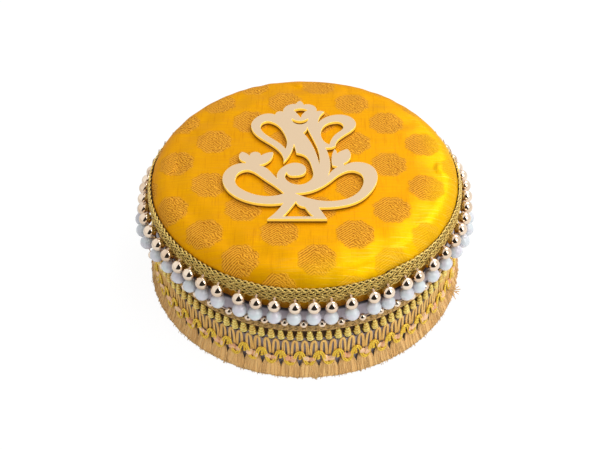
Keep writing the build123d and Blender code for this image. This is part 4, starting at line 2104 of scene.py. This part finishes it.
@dataclass
class Fringe:
    """The cut fringe: a tuft hangs from each bowl of the gimp and spreads, with loose threads over it."""

    inner: float
    repeat: LaceRepeat = LaceRepeat()
    top: float = 9.4 * MM
    bottom: float = 0.35 * MM
    cut: float = 1.1 * MM
    flare: float = 3.0 * MM
    threads: int = 15
    wisps: int = 9
    wisp_angle: float = math.radians(-23)
    wisp_height: float = 7 * MM
    wisp_thread: float = 0.22 * MM

    def ragged(self, angle: Array) -> Array:
        """Give the uneven cut of the lower edge: long waves with short ones on them.

        Args:
            angle: The angles round the box.

        Returns:
            The heights of the edge.
        """
        uneven = 0.5 + 0.2 * np.sin(211 * angle) + 0.16 * np.sin(389 * angle + 1)
        return self.bottom + self.cut * np.abs(uneven + 0.22 * np.sin(53 * angle + 2))

    def hang(self, tuft: Array, side: Array, share: Array) -> tuple[Array, Array, Array]:
        """Find a point of a tuft.

        A tuft is narrow under the cord and widens on the way down, until it overlaps its neighbours. Its
        radius grows from the top to the foot, and it is round across.

        Args:
            tuft: The angle of the tuft's middle.
            side: The place across the tuft, from -1 to 1.
            share: The share of the way down.

        Returns:
            The angle, the radius and the height.
        """
        half = self.repeat.step / 2 * (0.74 + 0.32 * ease(share, 0.05, 0.6))
        angle = tuft + side * half
        bulge = np.sqrt(np.clip(1.02 - side**2, 0, 1))
        radius = self.inner + 0.7 * MM + self.flare * share**1.25 + bulge * (0.6 - 0.25 * share) * MM
        return angle, radius, self.top + (self.ragged(angle) - self.top) * share

    def tufts(self) -> Surface:
        """Skin the tufts: each is a lens-shaped section carried from the cord down to the cut edge.

        Returns:
            The tufts.
        """
        across = np.linspace(-1, 1, 13)
        back = across[-2:0:-1]
        side = np.concatenate([across, back])[None, None]
        depth = np.concatenate([np.zeros(13), 0.45 * MM * (1 - back**2) + 0.12 * MM])[None, None]
        share = np.linspace(0, 1, 10)[None, :, None]
        angle, radius, height = self.hang(self.repeat.bowls()[:, None, None], side, share)
        return loft(around(angle, radius - depth, height))

    def loose(self) -> Surface:
        """Lay separate threads over the tufts, which drift sideways and lift a little towards their ends.

        Returns:
            The threads.
        """
        random = np.random.default_rng(SEED + 5)
        each = (self.repeat.waves * self.threads, 1)
        tuft = np.repeat(self.repeat.bowls(), self.threads)[:, None]
        side = random.uniform(-0.97, 0.97, each)
        share = np.linspace(0, 1, 7)[None]
        down = share * random.uniform(0.92, 1.06, each)
        drift = random.uniform(-0.16, 0.16, each) * down**2
        angle, radius, height = self.hang(tuft, side + drift, down)
        radius = radius + 0.07 * MM + random.uniform(-0.1, 0.5, each) * MM * down**2
        thick = (0.17 - 0.07 * share) * MM
        path = around(angle, radius, np.maximum(height, 0.2 * MM))
        hanging = loft(sweep(path, around(angle, 1.0, 0.0), thick, thick * 1.5, 4))
        return hanging.joined(self.wisp())

    def wisp(self) -> Surface:
        """Let a few threads stick out of the net at the right, as they do in the photograph.

        Each goes outward in proportion to its length, and sideways and up or down with its square.

        Returns:
            The threads.
        """
        random = np.random.default_rng(SEED + 6)
        each = (self.wisps, 1)
        share = np.linspace(0, 1, 7)[None]
        drift = random.uniform(-0.05, 0.05, each)
        angle = self.wisp_angle + random.uniform(-0.012, 0.012, each) + drift * share**2
        radius = self.inner + 1.2 * MM + random.uniform(3.4, 6.2, each) * MM * share
        start = self.wisp_height + random.uniform(-1, 1, each) * MM
        height = start + random.uniform(-2.4, 1, each) * MM * share**2
        path, outward = around(angle, radius, height), around(angle, 0.3, 1.0)
        return loft(sweep(path, outward, self.wisp_thread, self.wisp_thread, 4))

    def build(self) -> None:
        """Make the tufts and the threads over them."""
        material = CutThread().material()
        tufts = self.tufts().piece("fringe_tufts", material, Body.BASE)
        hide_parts("fringe")
        loose = self.loose().piece("fringe_threads", material, Body.BASE)


@dataclass
class Boards:
    """The boards and papers that stay as the CAD has them and get their finish."""

    white: tuple[Colour, Colour] = (srgb(236, 230, 218), srgb(214, 205, 188))
    grey: tuple[Colour, Colour] = (srgb(176, 166, 150), srgb(138, 128, 114))
    cream: tuple[Colour, Colour] = (srgb(240, 234, 220), srgb(216, 206, 188))
    gold: tuple[Colour, Colour] = (srgb(232, 190, 108), srgb(196, 148, 70))

    def build(self) -> None:
        """Finish every board and paper."""
        for name, finish in (
            ("underside", Paper("base_paper", *self.white)),
            ("base_floor", Paper("floor_board", *self.grey)),
            ("base_wall", Paper("wall_board", *self.grey)),
            ("neck_ring", Paper("neck_board", *self.cream, rough=0.55)),
            ("floor_lining", Paper("lining_paper", *self.gold, metal=0.7, rough=0.4)),
            ("lid_wall", Paper("lid_board", *self.grey)),
            ("lid_top_board", Paper("top_board", *self.grey)),
            ("lid_lining", Paper("lid_paper", *self.gold, metal=0.7, rough=0.4)),
        ):
            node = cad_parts[name]
            node.data.materials.clear()
            node.data.materials.append(finish.material())


def main() -> None:
    """Build the studio and every sub-assembly in order."""
    low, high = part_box("lid_cover")
    form = LidForm(radius=high.x, top=high.z, bottom=low.z)
    Studio().build()
    LOG.info("studio ready")
    Boards().build()
    LOG.info("boards and papers finished")
    pad = Pad(form).build()
    LOG.info("foam pad ready")
    Cover(form, pad, hem_top=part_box("lid_wall")[1].z - HEM_DEPTH).build()
    LOG.info("brocade cover ready")
    Emblem().build()
    LOG.info("emblem ready")
    braid_low, braid_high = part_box("lid_braid")
    Braid(form, top=braid_high.z, bottom=braid_low.z).build()
    LOG.info("braid ready")
    BeadDrops(form, braid_bottom=braid_low.z).build()
    LOG.info("bead drops ready")
    wrap_low, wrap_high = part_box("base_wrap")
    lace_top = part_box("lace_header")[1].z
    BaseWrap(radius=wrap_high.x, top=wrap_high.z, bottom=wrap_low.z, lace_top=lace_top).build()
    LOG.info("silver wrap ready")
    inner = wrap_high.x + LACE_GAP
    Lace(inner=inner, header_top=lace_top).build()
    LOG.info("lace ready")
    Fringe(inner=inner).build()
    LOG.info("fringe ready")


if __name__ == "__main__":
    logging.basicConfig(level=logging.INFO, format="%(message)s")
    main()
